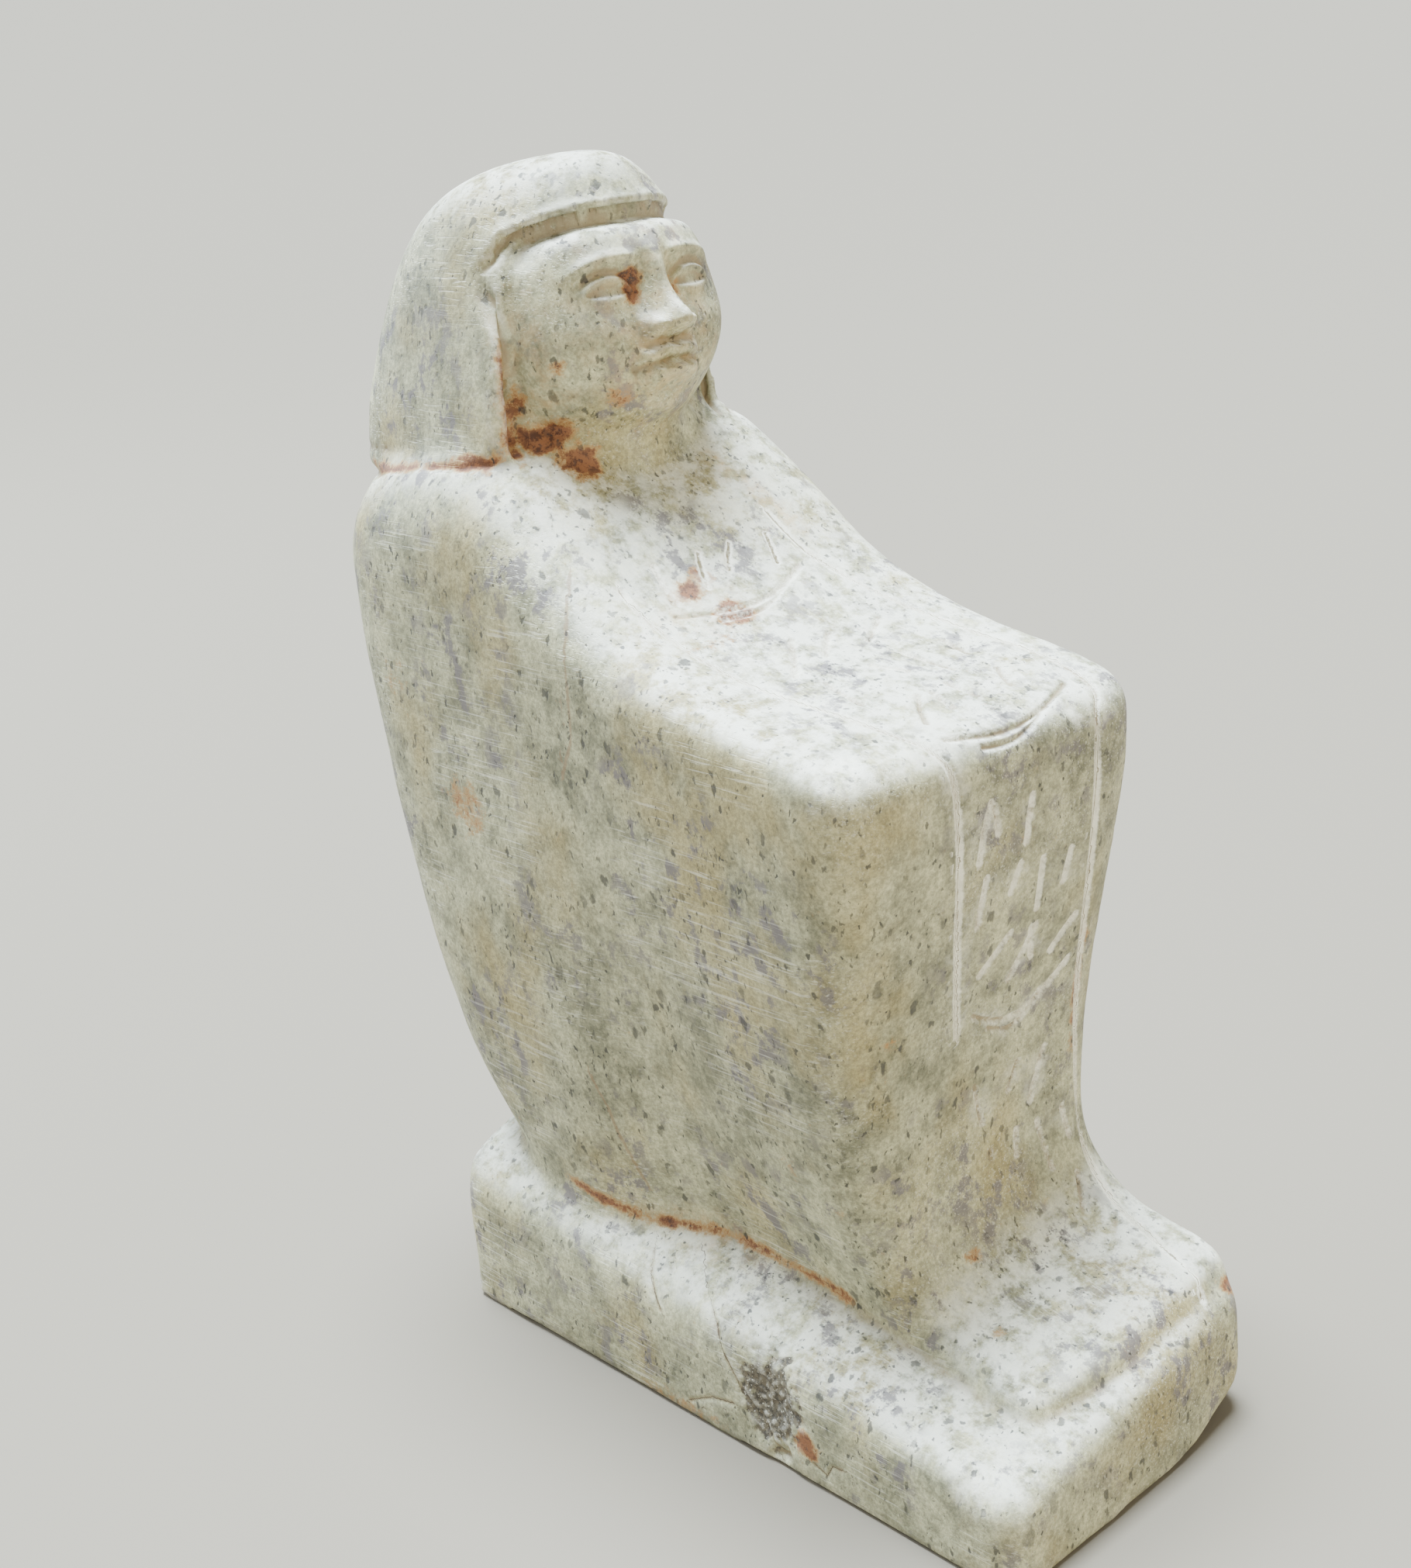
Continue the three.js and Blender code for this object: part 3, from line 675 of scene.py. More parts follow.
def wig_groove(points):
    """A groove round the face, and a crease under the wig with a scored line above it."""
    x, y, z = points.T
    lappet = lappet_edge(x)
    front = smoothstep(lappet + 8.0, lappet + 6.5, y) * smoothstep(115.0, 118.0, z)
    front *= np.maximum(smoothstep(lappet + 6.0, lappet + 2.0, y), smoothstep(14.5, 12.0, np.abs(x)))
    gap = edge_gap(points)
    groove = (0.9 * hump(gap - 0.45, 0.45) - 0.3 * hump(gap + 0.7, 0.7)) * front
    above = z - RIM["height"] + RIM["slope"] * (y - 28.0)
    backward = np.clip(y - RIM["side"], 0.0, None) / RIM["back"]
    around = (np.abs(x) / RIM["half_width"]) ** 3.4 + backward ** 3.4
    wall = smoothstep(0.62, 0.8, around) * smoothstep(28.5, 30.0, y) * smoothstep(1.35, 1.2, around)
    crease = 0.55 * hump(above, 0.55) * wall
    scored = hump(above - RIM["score_above"] - 0.02 * (y - 40.0), 0.35)
    return groove + crease + 0.3 * scored * wall * smoothstep(46.0, 54.0, y)


def foot_ledge(points):
    """A knife line where the foot stands on the plinth."""
    fade = smoothstep(-12.0, -22.0, points[:, 1]) * smoothstep(12.0, 4.0, points[:, 0])
    return FOOT_LINE_DEPTH * line_strength(points, [FOOT_LINE], 0.55) * fade


def trim_count(piece, limit):
    """Fewer triangles where the stone is plain."""
    bpy.context.view_layer.update()
    mesh = piece.data
    mesh.calc_loop_triangles()
    count = len(mesh.loop_triangles)
    if count > limit:
        apply_modifier(piece, "DECIMATE", ratio=limit / count, use_collapse_triangulate=True)
    select_only(piece)
    bpy.ops.object.shade_smooth()


def mark_surface(piece):
    """Stores where the stone is scored, stained or worn, where it gets painted shade with some dirt in its
    hollows and grooves, and painted light on its tops, for the material.
    """
    mesh = piece.data
    points, edges = mesh_points(mesh), mesh_edges(mesh)
    normals = mesh_normals(mesh)
    bend = np.einsum("ij,ij->i", neighbour_mean(points, edges) - points, normals)
    length = np.linalg.norm(points[edges[:, 0]] - points[edges[:, 1]], axis=1)
    spacing = np.bincount(edges.ravel(), np.repeat(length, 2), len(points))
    spacing /= np.maximum(np.bincount(edges.ravel(), minlength=len(points)), 1)
    bend /= np.maximum(spacing, 0.2) ** 2
    for _ in range(5):
        bend = 0.4 * bend + 0.6 * neighbour_mean(bend, edges)
    # Painted shade with some dirt in the concave places.
    store(mesh, "hollow_shade_and_grime", smoothstep(0.02, 0.3, bend))
    store(mesh, "worn", smoothstep(0.03, 0.16, -bend) * (1.0 - 0.8 * face_share(points)))
    # Painted shade with some dirt in the wig's grooves and along the foot's knife line.
    store(mesh, "seam_shade_and_grime", (wig_groove(points) + foot_ledge(points)) * 1.3)
    # Painted light: the faces that look up get a lighter colour.
    store(mesh, "top_light_share", smoothstep(0.35, 0.95, normals[:, 2]))
    scored = {"border": border_paths(), "crack": CRACKS, "vein": VEINS, "stroke": stroke_paths()}
    for name, paths in scored.items():
        side = line_sides(points, normals, paths)
        if name == "stroke":
            # Strokes cross each other, where a signed side would jump
            side = np.abs(side)
        store(mesh, name + "_near", line_strength(points, paths, 1.0))
        store(mesh, name + "_side", 0.5 + side / 4.0)
    seeping = line_strength(points, RUST_LINES, 0.9) * (0.75 + 0.4 * cloud(points, 3.0, 41))
    store(mesh, "rust", np.maximum(patches(points, RUST), seeping))
    store(mesh, "ochre", patches(points, OCHRE, seed=13))
    store(mesh, "dark", patches(points, DARK_SPOTS, rough=0.5, seed=17))
    store(mesh, "bruise", patches(points, BRUISES, seed=27))
    store(mesh, "chip", patches(points, [CHIP], rough=0.3, seed=21))


# Shader building blocks

class Nodes:
    """Adds nodes to a tree and links them."""

    def __init__(self, tree):
        self.tree = tree

    def add(self, kind, values=None, **options):
        node = self.tree.nodes.new(kind)
        for name, value in options.items():
            setattr(node, name, value)
        for name, value in (values or {}).items():
            if isinstance(value, bpy.types.NodeSocket):
                self.tree.links.new(value, node.inputs[name])
            else:
                node.inputs[name].default_value = value
        return node

    def maths(self, operation, first, second=0.0, clamp=False):
        node = self.add("ShaderNodeMath", {0: first, 1: second}, operation=operation, use_clamp=clamp)
        return node.outputs[0]

    def ramp(self, value, low, high):
        """0 at low, 1 at high and a soft rise between them."""
        node = self.add("ShaderNodeMapRange", {"Value": value, "From Min": low, "From Max": high})
        node.interpolation_type = "SMOOTHSTEP"
        return node.outputs["Result"]

    def sum_of(self, *terms):
        """Weighted sum of the terms, at most 1.2."""
        total = 0.0
        for value, weight in terms:
            total = self.maths("ADD", total, self.maths("MULTIPLY", value, weight))
        return self.maths("MINIMUM", total, 1.2)

    def blend(self, share, first, second, mode="MIX"):
        node = self.tree.nodes.new("ShaderNodeMix")
        node.data_type = "RGBA"
        node.blend_type = mode
        for index, value in ((0, share), (6, first), (7, second)):
            if isinstance(value, bpy.types.NodeSocket):
                self.tree.links.new(value, node.inputs[index])
            else:
                node.inputs[index].default_value = value
        return node.outputs[2]

    def noise(self, place, scale, detail=3.0, roughness=0.55, stretch=None, turn=(0.0, 0.0, 0.0)):
        if stretch:
            mapping = {"Vector": place, "Scale": stretch, "Rotation": turn}
            place = self.add("ShaderNodeMapping", mapping).outputs[0]
        values = {"Vector": place, "Scale": scale, "Detail": detail, "Roughness": roughness}
        return self.add("ShaderNodeTexNoise", values).outputs["Fac"]


def new_group(name, inputs, outputs):
    """A shader node group, as its nodes, its entry's sockets and its exit's sockets."""
    tree = bpy.data.node_groups.new(name, "ShaderNodeTree")
    for way, sockets in (("INPUT", inputs), ("OUTPUT", outputs)):
        for socket, kind in sockets.items():
            tree.interface.new_socket(name=socket, in_out=way, socket_type="NodeSocket" + kind)
    entry = tree.nodes.new("NodeGroupInput")
    leave = tree.nodes.new("NodeGroupOutput")
    return Nodes(tree), entry.outputs, leave.inputs


def mottle_group():
    """Soft clouds of pale, greenish and warm stone, down to its grain."""
    nodes, entry, leave = new_group(
        "stone_mottle",
        {"Place": "Vector", "Pale": "Color", "Green": "Color", "Warm": "Color"},
        {"Color": "Color"})
    place = entry["Place"]
    broad = nodes.ramp(nodes.noise(place, 38.0, detail=3.0), 0.36, 0.66)
    middle = nodes.ramp(nodes.noise(place, 190.0, detail=4.0, roughness=0.6), 0.34, 0.68)
    fine = nodes.noise(place, 720.0, detail=3.0, roughness=0.65, stretch=(1.0, 1.0, 0.8))
    small = nodes.ramp(fine, 0.34, 0.66)
    green = nodes.sum_of((broad, 0.25), (middle, 0.55), (small, 0.35))
    color = nodes.blend(green, entry["Pale"], entry["Green"])
    warm = nodes.ramp(nodes.noise(place, 64.0, detail=4.0, stretch=(1.0, 1.0, 0.7)), 0.46, 0.7)
    color = nodes.blend(nodes.maths("MULTIPLY", warm, 0.6), color, entry["Warm"])
    grain = nodes.ramp(nodes.noise(place, 1900.0, detail=3.0, roughness=0.8), 0.34, 0.66)
    shade = nodes.sum_of((grain, 0.45), (1.0, 0.66))
    nodes.tree.links.new(nodes.blend(1.0, color, shade, mode="MULTIPLY"), leave["Color"])
    return nodes.tree


# Specks from large to small, as scale, size and how rare they are
SPECK_SIZES = ((230.0, 0.17, 0.9), (430.0, 0.22, 0.8), (820.0, 0.28, 0.8), (1500.0, 0.32, 0.82))
# Rubbing marks, as turn and scale
RUBBING_MARKS = (((0.55, 0.0, 0.2), 110.0), ((-0.35, 0.1, 0.5), 140.0), ((1.2, 0.2, -0.3), 95.0))


def speck_group():
    """Dark mineral specks in loose swarms, and violet-grey clouds."""
    nodes, entry, leave = new_group(
        "stone_specks", {"Place": "Vector"}, {"Specks": "Float", "Clouds": "Float"})
    slant = {"Vector": entry["Place"], "Scale": (1.0, 1.0, 0.62), "Rotation": (0.25, 0.35, 0.0)}
    stretched = nodes.add("ShaderNodeMapping", slant).outputs[0]
    warp = nodes.add("ShaderNodeTexNoise", {"Vector": stretched, "Scale": 1100.0, "Detail": 3.0})
    push = {0: warp.outputs["Color"], 1: (0.0016, 0.0016, 0.0016)}
    pushed = nodes.add("ShaderNodeVectorMath", push, operation="MULTIPLY").outputs[0]
    bent = nodes.add("ShaderNodeVectorMath", {0: stretched, 1: pushed}, operation="ADD").outputs[0]
    swarm = nodes.ramp(nodes.noise(entry["Place"], 75.0, detail=3.0), 0.4, 0.68)
    total = None
    for scale, size, rare in SPECK_SIZES:
        cell = nodes.add("ShaderNodeTexVoronoi", {"Vector": bent, "Scale": scale})
        chance = nodes.add("ShaderNodeSeparateColor", {"Color": cell.outputs["Color"]}).outputs
        limit = nodes.maths("SUBTRACT", rare, nodes.maths("MULTIPLY", swarm, 0.3))
        kept = nodes.maths("GREATER_THAN", chance["Red"], limit)
        reach = nodes.sum_of((chance["Green"], size * 0.9), (1.0, size * 0.5))
        near = nodes.maths("DIVIDE", cell.outputs["Distance"], reach)
        spot = nodes.maths("MULTIPLY", nodes.ramp(near, 1.0, 0.6), kept)
        spot = nodes.maths("MULTIPLY", spot, nodes.sum_of((chance["Blue"], 0.5), (1.0, 0.5)))
        total = spot if total is None else nodes.maths("MAXIMUM", total, spot)
    cloudy = nodes.noise(entry["Place"], 260.0, detail=6.0, roughness=0.72, stretch=(1.0, 1.0, 0.85))
    region = nodes.ramp(nodes.noise(entry["Place"], 55.0, detail=3.0), 0.4, 0.58)
    clouds = nodes.maths("MULTIPLY", nodes.ramp(cloudy, 0.52, 0.6), region)
    nodes.tree.links.new(total, leave["Specks"])
    nodes.tree.links.new(clouds, leave["Clouds"])
    return nodes.tree


def scratch_group():
    """Fine straight rubbing marks that cross at several angles."""
    nodes, entry, leave = new_group("stone_scratches", {"Place": "Vector"}, {"Scratches": "Float"})
    total = None
    for turn, scale in RUBBING_MARKS:
        streaks = nodes.noise(entry["Place"], scale, detail=2.0, stretch=(24.0, 0.9, 24.0), turn=turn)
        thin = nodes.ramp(streaks, 0.6, 0.72)
        total = thin if total is None else nodes.maths("MAXIMUM", total, thin)
    where = nodes.ramp(nodes.noise(entry["Place"], 60.0, detail=2.0), 0.38, 0.6)
    nodes.tree.links.new(nodes.maths("MULTIPLY", total, where), leave["Scratches"])
    return nodes.tree


def line_group():
    """A thin ragged line from how near it is and the distance to either side of it."""
    nodes, entry, leave = new_group(
        "stone_line",
        {"Place": "Vector", "Near": "Float", "Side": "Float", "Width": "Float", "Ragged": "Float"},
        {"Line": "Float"})
    across = nodes.maths("MULTIPLY", nodes.maths("SUBTRACT", entry["Side"], 0.5), 4.0)
    across = nodes.maths("ABSOLUTE", across)
    shake = nodes.maths("SUBTRACT", nodes.noise(entry["Place"], 1300.0, detail=5.0, roughness=0.75), 0.5)
    across = nodes.maths("ADD", across, nodes.maths("MULTIPLY", shake, entry["Ragged"]))
    edge = nodes.maths("SUBTRACT", 1.0, nodes.maths("DIVIDE", across, entry["Width"]))
    line = nodes.maths("MULTIPLY", nodes.ramp(edge, 0.0, 0.5), nodes.ramp(entry["Near"], 0.15, 0.4))
    nodes.tree.links.new(line, leave["Line"])
    return nodes.tree


def rgba(color):
    return (*color[:3], 1.0)


class StoneCoats(Nodes):
    """The stone's colour, laid on coat by coat over its stored marks."""

    def __init__(self, tree):
        super().__init__(tree)
        self.place = self.add("ShaderNodeTexCoord").outputs["Object"]
        self.line_tree = line_group()
        self.minerals = self.group(speck_group())
        self.scratches = self.group(scratch_group())["Scratches"]
        self.patchy = self.ramp(self.noise(self.place, 520.0, detail=4.0, roughness=0.7), 0.35, 0.68)
        self.gritty = self.ramp(self.noise(self.place, 1700.0, detail=3.0, roughness=0.7), 0.42, 0.6)
        self.color = None

    def stored(self, name):
        return self.add("ShaderNodeAttribute", attribute_name=name).outputs["Fac"]

    def share(self, name, strength):
        return self.maths("MULTIPLY", self.stored(name), strength, clamp=True)

    def group(self, tree, **values):
        return self.add("ShaderNodeGroup", {"Place": self.place, **values}, node_tree=tree).outputs

    def line(self, name, width, ragged):
        near, side = self.stored(name + "_near"), self.stored(name + "_side")
        return self.group(self.line_tree, Near=near, Side=side, Width=width, Ragged=ragged)["Line"]

    def lay(self, color, *shares):
        """Covers the coats below with a colour, by the product of the shares."""
        cover = shares[0]
        for share in shares[1:]:
            cover = self.maths("MULTIPLY", cover, share)
        self.color = self.blend(cover, self.color, rgba(color))


def lay_ground(coats, look):
    """Mottled stone with painted light on the faces that look up, and violet clouds and rubbing marks."""
    tones = {"Pale": rgba(look.pale), "Green": rgba(look.green), "Warm": rgba(look.warm)}
    coats.color = coats.group(mottle_group(), **tones)["Color"]
    # Painted light from above, broken up by noise: the faces that look up are lightened.
    top_light_breakup = coats.ramp(coats.noise(coats.place, 330.0, detail=5.0, roughness=0.7), 0.36, 0.58)
    coats.lay(look.painted_top_light, coats.share("top_light_share", 0.8), top_light_breakup)
    coats.lay(look.cloud, coats.minerals["Clouds"], 0.85)
    coats.lay(look.chalk_and_glint, coats.scratches, 0.34)


def lay_stains(coats, look):
    """Painted shade with some dirt in the hollows and grooves, ochre and rust stains, veins and dark specks.
    """
    # Painted shade with some dirt: darker in the hollows, and in the grooves.
    coats.lay(look.shade_and_grime, coats.share("hollow_shade_and_grime", 0.75))
    coats.lay(look.shade_and_grime, coats.share("seam_shade_and_grime", 0.8), coats.sum_of((coats.patchy, 0.5), (1.0, 0.5)))
    coats.lay(look.ochre, coats.share("ochre", 0.75), coats.patchy)
    blotchy = coats.noise(coats.place, 620.0, detail=8.0, roughness=0.85)
    stain = coats.sum_of((coats.stored("rust"), 0.6), (blotchy, 1.3), (1.0, -0.25))
    coats.lay(look.rust, coats.ramp(stain, 0.52, 0.7), 0.8)
    coats.lay(look.red_rust, coats.ramp(stain, 0.68, 0.82), 0.85)
    crust = coats.ramp(coats.stored("rust"), 0.4, 0.9)
    coats.lay(look.deep_rust, crust, coats.ramp(blotchy, 0.5, 0.56), 0.85)
    coats.lay(look.vein, coats.line("vein", 0.35, 0.9), 0.55)
    coats.lay(look.speck, coats.minerals["Specks"], 0.85)
    coats.lay(look.speck, coats.share("dark", 0.95), coats.gritty)


def lay_damage(coats, look):
    """The chip's crystalline break with painted glints, and chalky bruises and worn edges."""
    broken = coats.ramp(coats.sum_of((coats.stored("chip"), 1.0), (coats.patchy, 0.25)), 0.36, 0.5)
    coats.lay(look.crystal, broken, 0.9)
    coats.lay(look.speck, broken, coats.gritty, 0.7)
    # Painted glints: tiny pale dots of the chalk colour on the break.
    glint = coats.ramp(coats.noise(coats.place, 2600.0, detail=2.0), 0.62, 0.68)
    coats.lay(look.chalk_and_glint, broken, glint, 0.6)
    coats.lay(look.chalk_and_glint, coats.share("bruise", 0.85), coats.patchy)
    coats.lay(look.chalk_and_glint, coats.share("worn", 0.35), coats.patchy)
    return broken


def lay_lines(coats, look):
    """Powdery strokes and borders with painted shade in their beds, and dark cracks."""
    powder = coats.sum_of((coats.patchy, 0.3), (1.0, 0.68))
    stroke, shaded_bed = coats.line("stroke", 0.72, 0.9), coats.line("stroke", 0.3, 0.7)
    height = coats.add("ShaderNodeSeparateXYZ", {"Vector": coats.place}).outputs["Z"]
    on_lap = coats.ramp(height, 0.0885, 0.0915)
    coats.lay(look.chalk_and_glint, stroke, powder)
    # Painted shade along the beds of the strokes, stronger on the lap.
    coats.lay(look.groove_shade, shaded_bed, coats.sum_of((on_lap, 0.3), (coats.gritty, 0.3), (1.0, 0.5)))
    border = coats.line("border", 0.82, 0.8)
    coats.lay(look.chalk_and_glint, border, powder)
    # Painted shade along the middle of the borders.
    coats.lay(look.groove_shade, coats.line("border", 0.2, 0.5), 0.85)
    coats.lay(look.crack, coats.line("crack", 0.17, 0.34), 0.92)
    return stroke, border


def stone_material(look):
    """Hand-rubbed soft stone with specks, rust in the hollows and chalky scratched lines."""
    material = bpy.data.materials.new("rubbed_stone")
    material.use_nodes = True
    material.node_tree.nodes.clear()
    coats = StoneCoats(material.node_tree)
    lay_ground(coats, look)
    lay_stains(coats, look)
    broken = lay_damage(coats, look)
    stroke, border = lay_lines(coats, look)

    grain = coats.noise(coats.place, 1900.0, detail=3.0, roughness=0.65)
    rough = coats.sum_of((grain, 0.22), (1.0, 0.48), (stroke, 0.15), (border, 0.15))
    pits = coats.sum_of((coats.scratches, 0.35), (coats.minerals["Specks"], 0.35))
    relief = coats.maths("SUBTRACT", coats.sum_of((grain, 0.4), (1.0, 0.5)), pits)
    coarse = coats.maths("MULTIPLY", coats.maths("MAXIMUM", broken, stroke), coats.gritty)
    relief = coats.maths("SUBTRACT", relief, coats.maths("MULTIPLY", coarse, 0.6))
    bump = coats.add("ShaderNodeBump", {"Height": relief, "Strength": 0.45, "Distance": 0.0003})
    shader = coats.add("ShaderNodeBsdfPrincipled", {
        "Base Color": coats.color,
        "Roughness": rough,
        "Normal": bump.outputs[0],
        "Specular IOR Level": 0.4,
    })
    coats.add("ShaderNodeOutputMaterial", {"Surface": shader.outputs[0]})
    return material


# Settings

SKIN = 0.8
MOST_TRIANGLES = 194000


class StatueSizes(bpy.types.PropertyGroup):
    skin: FloatProperty(
        name="Skin", description="Grain of the carved skin", default=SKIN * MM, unit="LENGTH")
    border_depth: FloatProperty(
        name="Border depth", description="Depth of the lines beside the strokes",
        default=BORDER_DEPTH * MM, unit="LENGTH")
    stroke_depth: FloatProperty(
        name="Stroke depth", description="Depth of the strokes on lap and shins",
        default=STROKE_DEPTH * MM, unit="LENGTH")
    triangles: IntProperty(
        name="Triangles", description="Most triangles in the carved skin", default=MOST_TRIANGLES)


def color_setting(name, description, default):
    return FloatVectorProperty(
        name=name, description=description, default=default, subtype="COLOR", min=0.0, max=1.0)


class StoneLook(bpy.types.PropertyGroup):
    pale: color_setting("Pale", "Main pale stone", (0.6, 0.575, 0.37))
    green: color_setting("Green", "Grey-green clouds", (0.195, 0.19, 0.12))
    warm: color_setting("Warm", "Khaki clouds", (0.4, 0.31, 0.12))
    # Painted light on the faces that look up.
    painted_top_light: color_setting("Painted top light", "Painted light on the faces that look up", (0.84, 0.83, 0.74))
    cloud: color_setting("Violet", "Violet-grey clouds", (0.15, 0.13, 0.14))
    speck: color_setting("Specks", "Dark mineral specks", (0.03, 0.028, 0.03))
    # Also used for the painted glints on the break.
    chalk_and_glint: color_setting("Chalk and glint", "Scratched and bruised stone", (0.95, 0.92, 0.8))
    # Painted shade with some dirt in the hollows and grooves.
    shade_and_grime: color_setting("Shade and grime", "Painted shade and dirt in the hollows", (0.3, 0.23, 0.14))
    rust: color_setting("Rust", "Orange edge of the stains", (0.42, 0.23, 0.08))
    red_rust: color_setting("Red rust", "Red-brown stains", (0.2, 0.065, 0.028))
    deep_rust: color_setting("Deep rust", "Dark crust", (0.05, 0.018, 0.012))
    vein: color_setting("Vein", "Brown veins", (0.24, 0.14, 0.07))
    ochre: color_setting("Ochre", "Ochre stains", (0.56, 0.36, 0.16))
    # Painted khaki shade in the beds of the strokes and borders.
    groove_shade: color_setting("Groove shade", "Painted shade in the beds of the strokes and borders, strongest on the lap", (0.21, 0.17, 0.095))
    crystal: color_setting("Crystal", "Broken crystalline patch", (0.15, 0.125, 0.09))
    crack: color_setting("Crack", "Dark cracks", (0.1, 0.07, 0.045))


class StageLook(bpy.types.PropertyGroup):
    floor: color_setting("Floor", "Plain studio floor", (0.2, 0.172, 0.135))
    key: FloatProperty(name="Key light", description="Cool light from above", default=20.0)
    fill: FloatProperty(
        name="Fill light", description="Cool light from behind", default=10.0, unit="POWER")
    bounce: FloatProperty(
        name="Bounce light", description="Warm light from the front", default=1.7, unit="POWER")
    world: FloatProperty(name="Room", description="Even light of the room", default=0.04)


# Operators

class STATUE_OT_carve(bpy.types.Operator):
    """Carve the statue's skin and give it its stone"""
    bl_idname = "statue.carve"
    bl_label = "Carve Statue"

    def execute(self, context):
        sizes = context.scene.statue_sizes
        piece = start_block(sizes)
        rub_smooth(piece)
        carve(piece, sizes)
        trim_count(piece, sizes.triangles)
        mark_surface(piece)
        piece.data.materials.append(stone_material(context.scene.stone_look))
        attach(piece, "root")
        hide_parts(NODE)
        return {"FINISHED"}


# The stage: places in metres, the camera's in millimetres
CAMERA = {
    "azimuth": math.radians(-40.0),
    "elevation": math.radians(18.5),
    "roll": math.radians(-4.9),
    "distance": 270.9,
    "target": (-4.6, 13.36, 74.93),
    "lens": 50.8,
}
FLOOR = {"size": 60.0, "cuts": 160, "flat_radius": 1.5, "rise": 24.0, "roughness": 0.9}
FILL_LIGHT = {"place": (-0.28, 0.8, 0.5), "aim": (0.0, 0.01, 0.08), "size": 0.5, "color": (0.72, 0.86, 1.0)}
BOUNCE_LIGHT = {"place": (0.12, -0.6, 0.14), "aim": (0.0, 0.0, 0.03), "size": 0.5, "color": (1.0, 0.84, 0.5)}
KEY_LIGHT = {"turn": (-10.0, 2.0, 0.0), "angle": 30.0, "color": (0.78, 0.91, 1.0)}
ROOM_COLOR = (0.93, 0.96, 1.0, 1.0)


def place_camera():
    turn, climb, roll = CAMERA["azimuth"], CAMERA["elevation"], CAMERA["roll"]
    back = Vector((math.sin(turn) * math.cos(climb), -math.cos(turn) * math.cos(climb), math.sin(climb)))
    right = Vector((0, 0, 1)).cross(back).normalized()
    up = back.cross(right)
    across = right * math.cos(roll) + up * math.sin(roll)
    upward = up * math.cos(roll) - right * math.sin(roll)
    bpy.ops.object.camera_add()
    camera = bpy.context.object
    camera.name = "view_camera"
    matrix = Matrix((across, upward, back)).transposed().to_4x4()
    matrix.translation = (Vector(CAMERA["target"]) + back * CAMERA["distance"]) * MM
    camera.matrix_world = matrix
    camera.data.lens = CAMERA["lens"]
    camera.data.clip_start = 0.01
    camera.data.clip_end = 20.0
    bpy.context.scene.camera = camera


def lay_floor(color):
    """A flat floor that rises far behind the statue."""
    bpy.ops.mesh.primitive_grid_add(
        x_subdivisions=FLOOR["cuts"], y_subdivisions=FLOOR["cuts"], size=FLOOR["size"], location=(0, 0, 0))
    floor = bpy.context.object
    floor.name = "studio_floor"
    places = mesh_points(floor.data) * MM
    far = np.clip(np.hypot(places[:, 0], places[:, 1]) - FLOOR["flat_radius"], 0.0, None)
    places[:, 2] = far ** 2 / FLOOR["rise"]
    set_points(floor.data, places / MM)
    bpy.ops.object.shade_smooth()
    material = bpy.data.materials.new("studio_floor")
    material.use_nodes = True
    shader = material.node_tree.nodes["Principled BSDF"]
    shader.inputs["Base Color"].default_value = rgba(color)
    shader.inputs["Roughness"].default_value = FLOOR["roughness"]
    floor.data.materials.append(material)


def add_soft_light(name, light, power):
    place, aim = Vector(light["place"]), Vector(light["aim"])
    bpy.ops.object.light_add(type="AREA", location=place)
    lamp = bpy.context.object
    lamp.name = name
    lamp.rotation_euler = (aim - place).to_track_quat("-Z", "Y").to_euler()
    lamp.data.shape = "SQUARE"
    lamp.data.size = light["size"]
    lamp.data.energy = power
    lamp.data.color = light["color"]


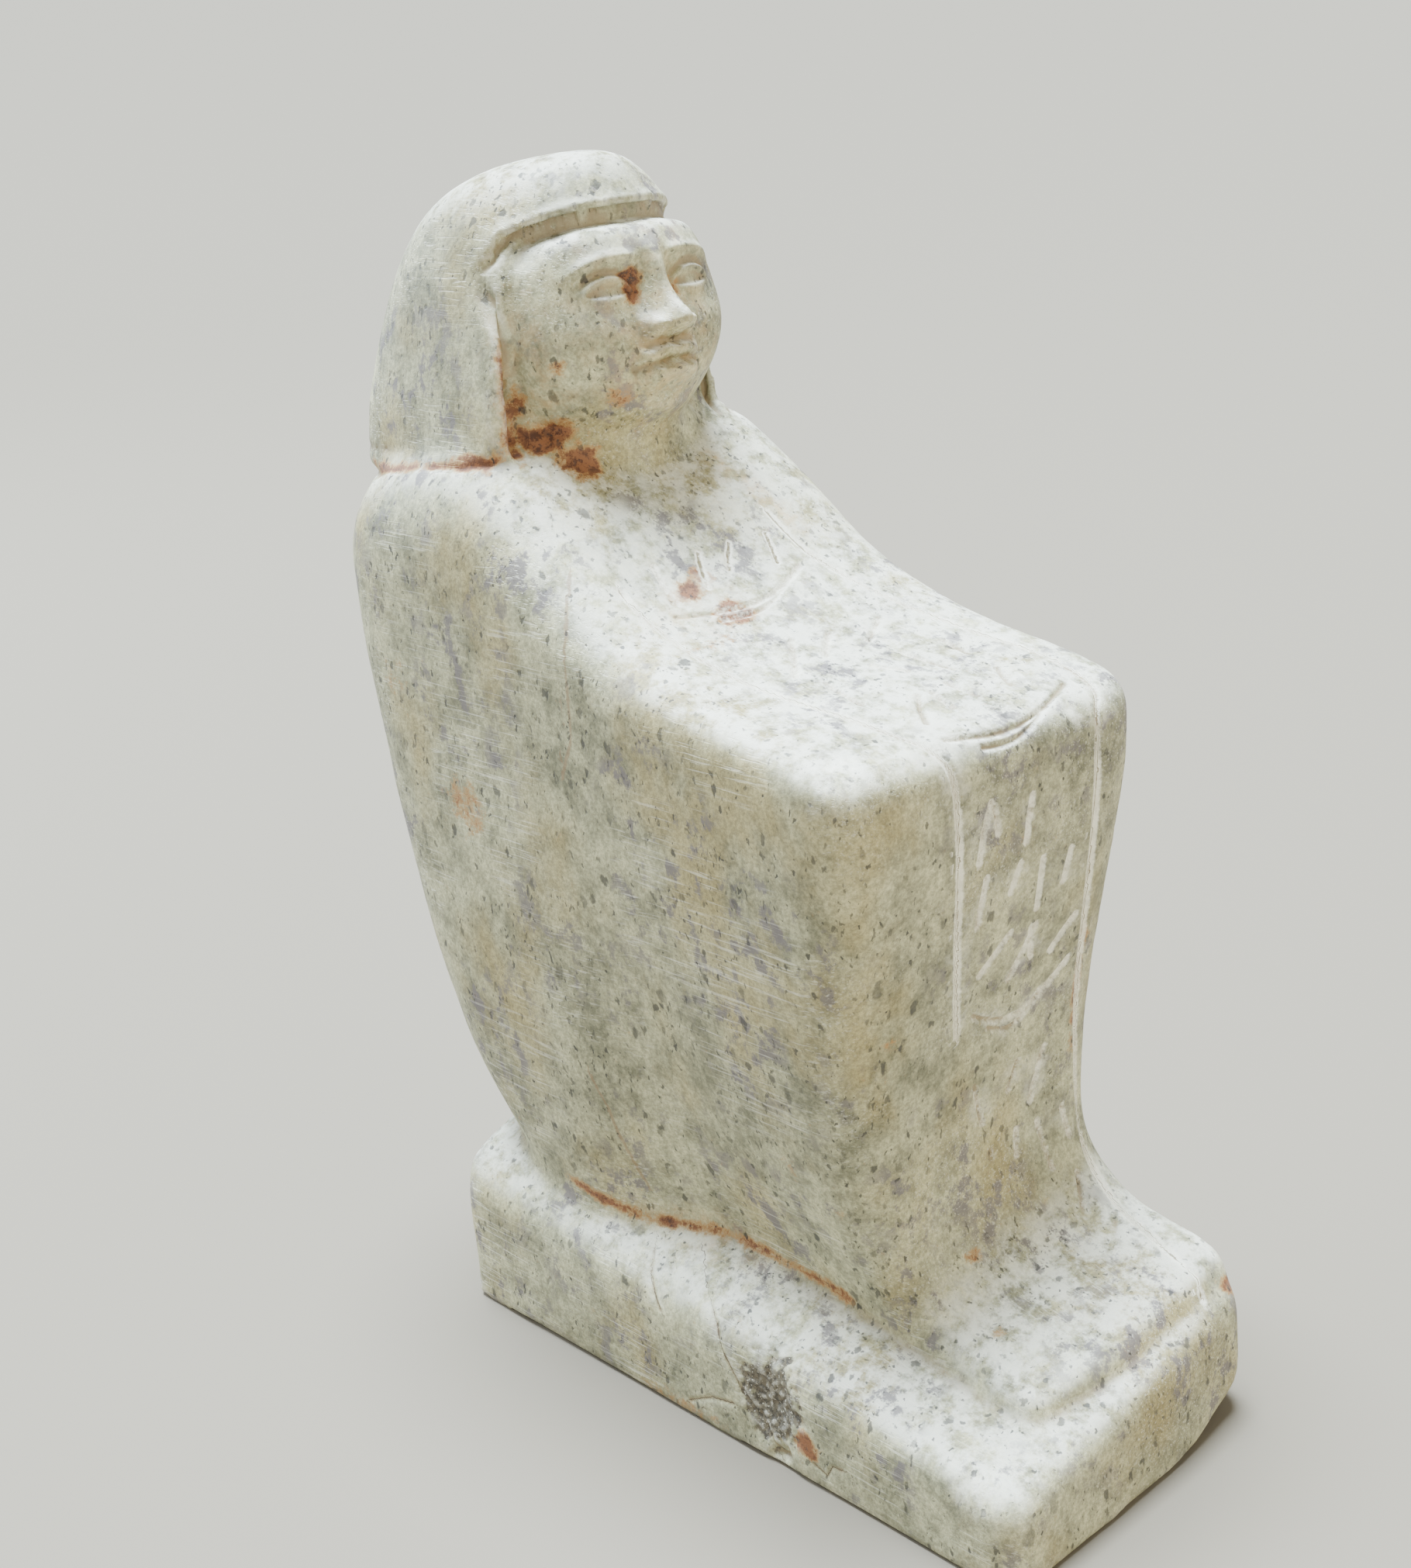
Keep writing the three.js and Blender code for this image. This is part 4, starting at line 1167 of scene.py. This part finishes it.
def add_key_light(strength):
    turn = [math.radians(angle) for angle in KEY_LIGHT["turn"]]
    bpy.ops.object.light_add(type="SUN", location=(0, 0, 1), rotation=turn)
    lamp = bpy.context.object
    lamp.name = "key_light"
    lamp.data.energy = strength
    lamp.data.angle = math.radians(KEY_LIGHT["angle"])
    lamp.data.color = KEY_LIGHT["color"]


def light_room(strength):
    world = bpy.data.worlds.new("studio_room")
    world.use_nodes = True
    background = world.node_tree.nodes["Background"]
    background.inputs["Color"].default_value = ROOM_COLOR
    background.inputs["Strength"].default_value = strength
    bpy.context.scene.world = world


class STATUE_OT_stage(bpy.types.Operator):
    """Set up the floor, the soft lights and the camera"""
    bl_idname = "statue.stage"
    bl_label = "Set Stage"

    def execute(self, context):
        look = context.scene.stage_look
        bpy.ops.object.select_all(action="DESELECT")
        lay_floor(look.floor)
        add_soft_light("fill_light", FILL_LIGHT, look.fill)
        add_soft_light("bounce_light", BOUNCE_LIGHT, look.bounce)
        add_key_light(look.key)
        light_room(look.world)
        place_camera()
        return {"FINISHED"}


class STATUE_PT_panel(bpy.types.Panel):
    """Lists the statue's sizes, colours and steps"""
    bl_label = "Block Statue"
    bl_idname = "STATUE_PT_panel"
    bl_space_type = "VIEW_3D"
    bl_region_type = "UI"
    bl_category = "Block Statue"

    def draw(self, context):
        for group in SETTINGS:
            settings, box = getattr(context.scene, group), self.layout.box()
            for name in settings.__annotations__:
                box.prop(settings, name)
        self.layout.operator(STATUE_OT_carve.bl_idname)
        self.layout.operator(STATUE_OT_stage.bl_idname)


SETTINGS = {"statue_sizes": StatueSizes, "stone_look": StoneLook, "stage_look": StageLook}
CLASSES = (*SETTINGS.values(), STATUE_OT_carve, STATUE_OT_stage, STATUE_PT_panel)


def register():
    for item in CLASSES:
        bpy.utils.register_class(item)
    for name, group in SETTINGS.items():
        setattr(bpy.types.Scene, name, PointerProperty(type=group))


def unregister():
    for name in SETTINGS:
        delattr(bpy.types.Scene, name)
    for item in reversed(CLASSES):
        bpy.utils.unregister_class(item)


def main():
    register()
    bpy.ops.statue.carve()
    bpy.ops.statue.stage()


if __name__ == "__main__":
    main()
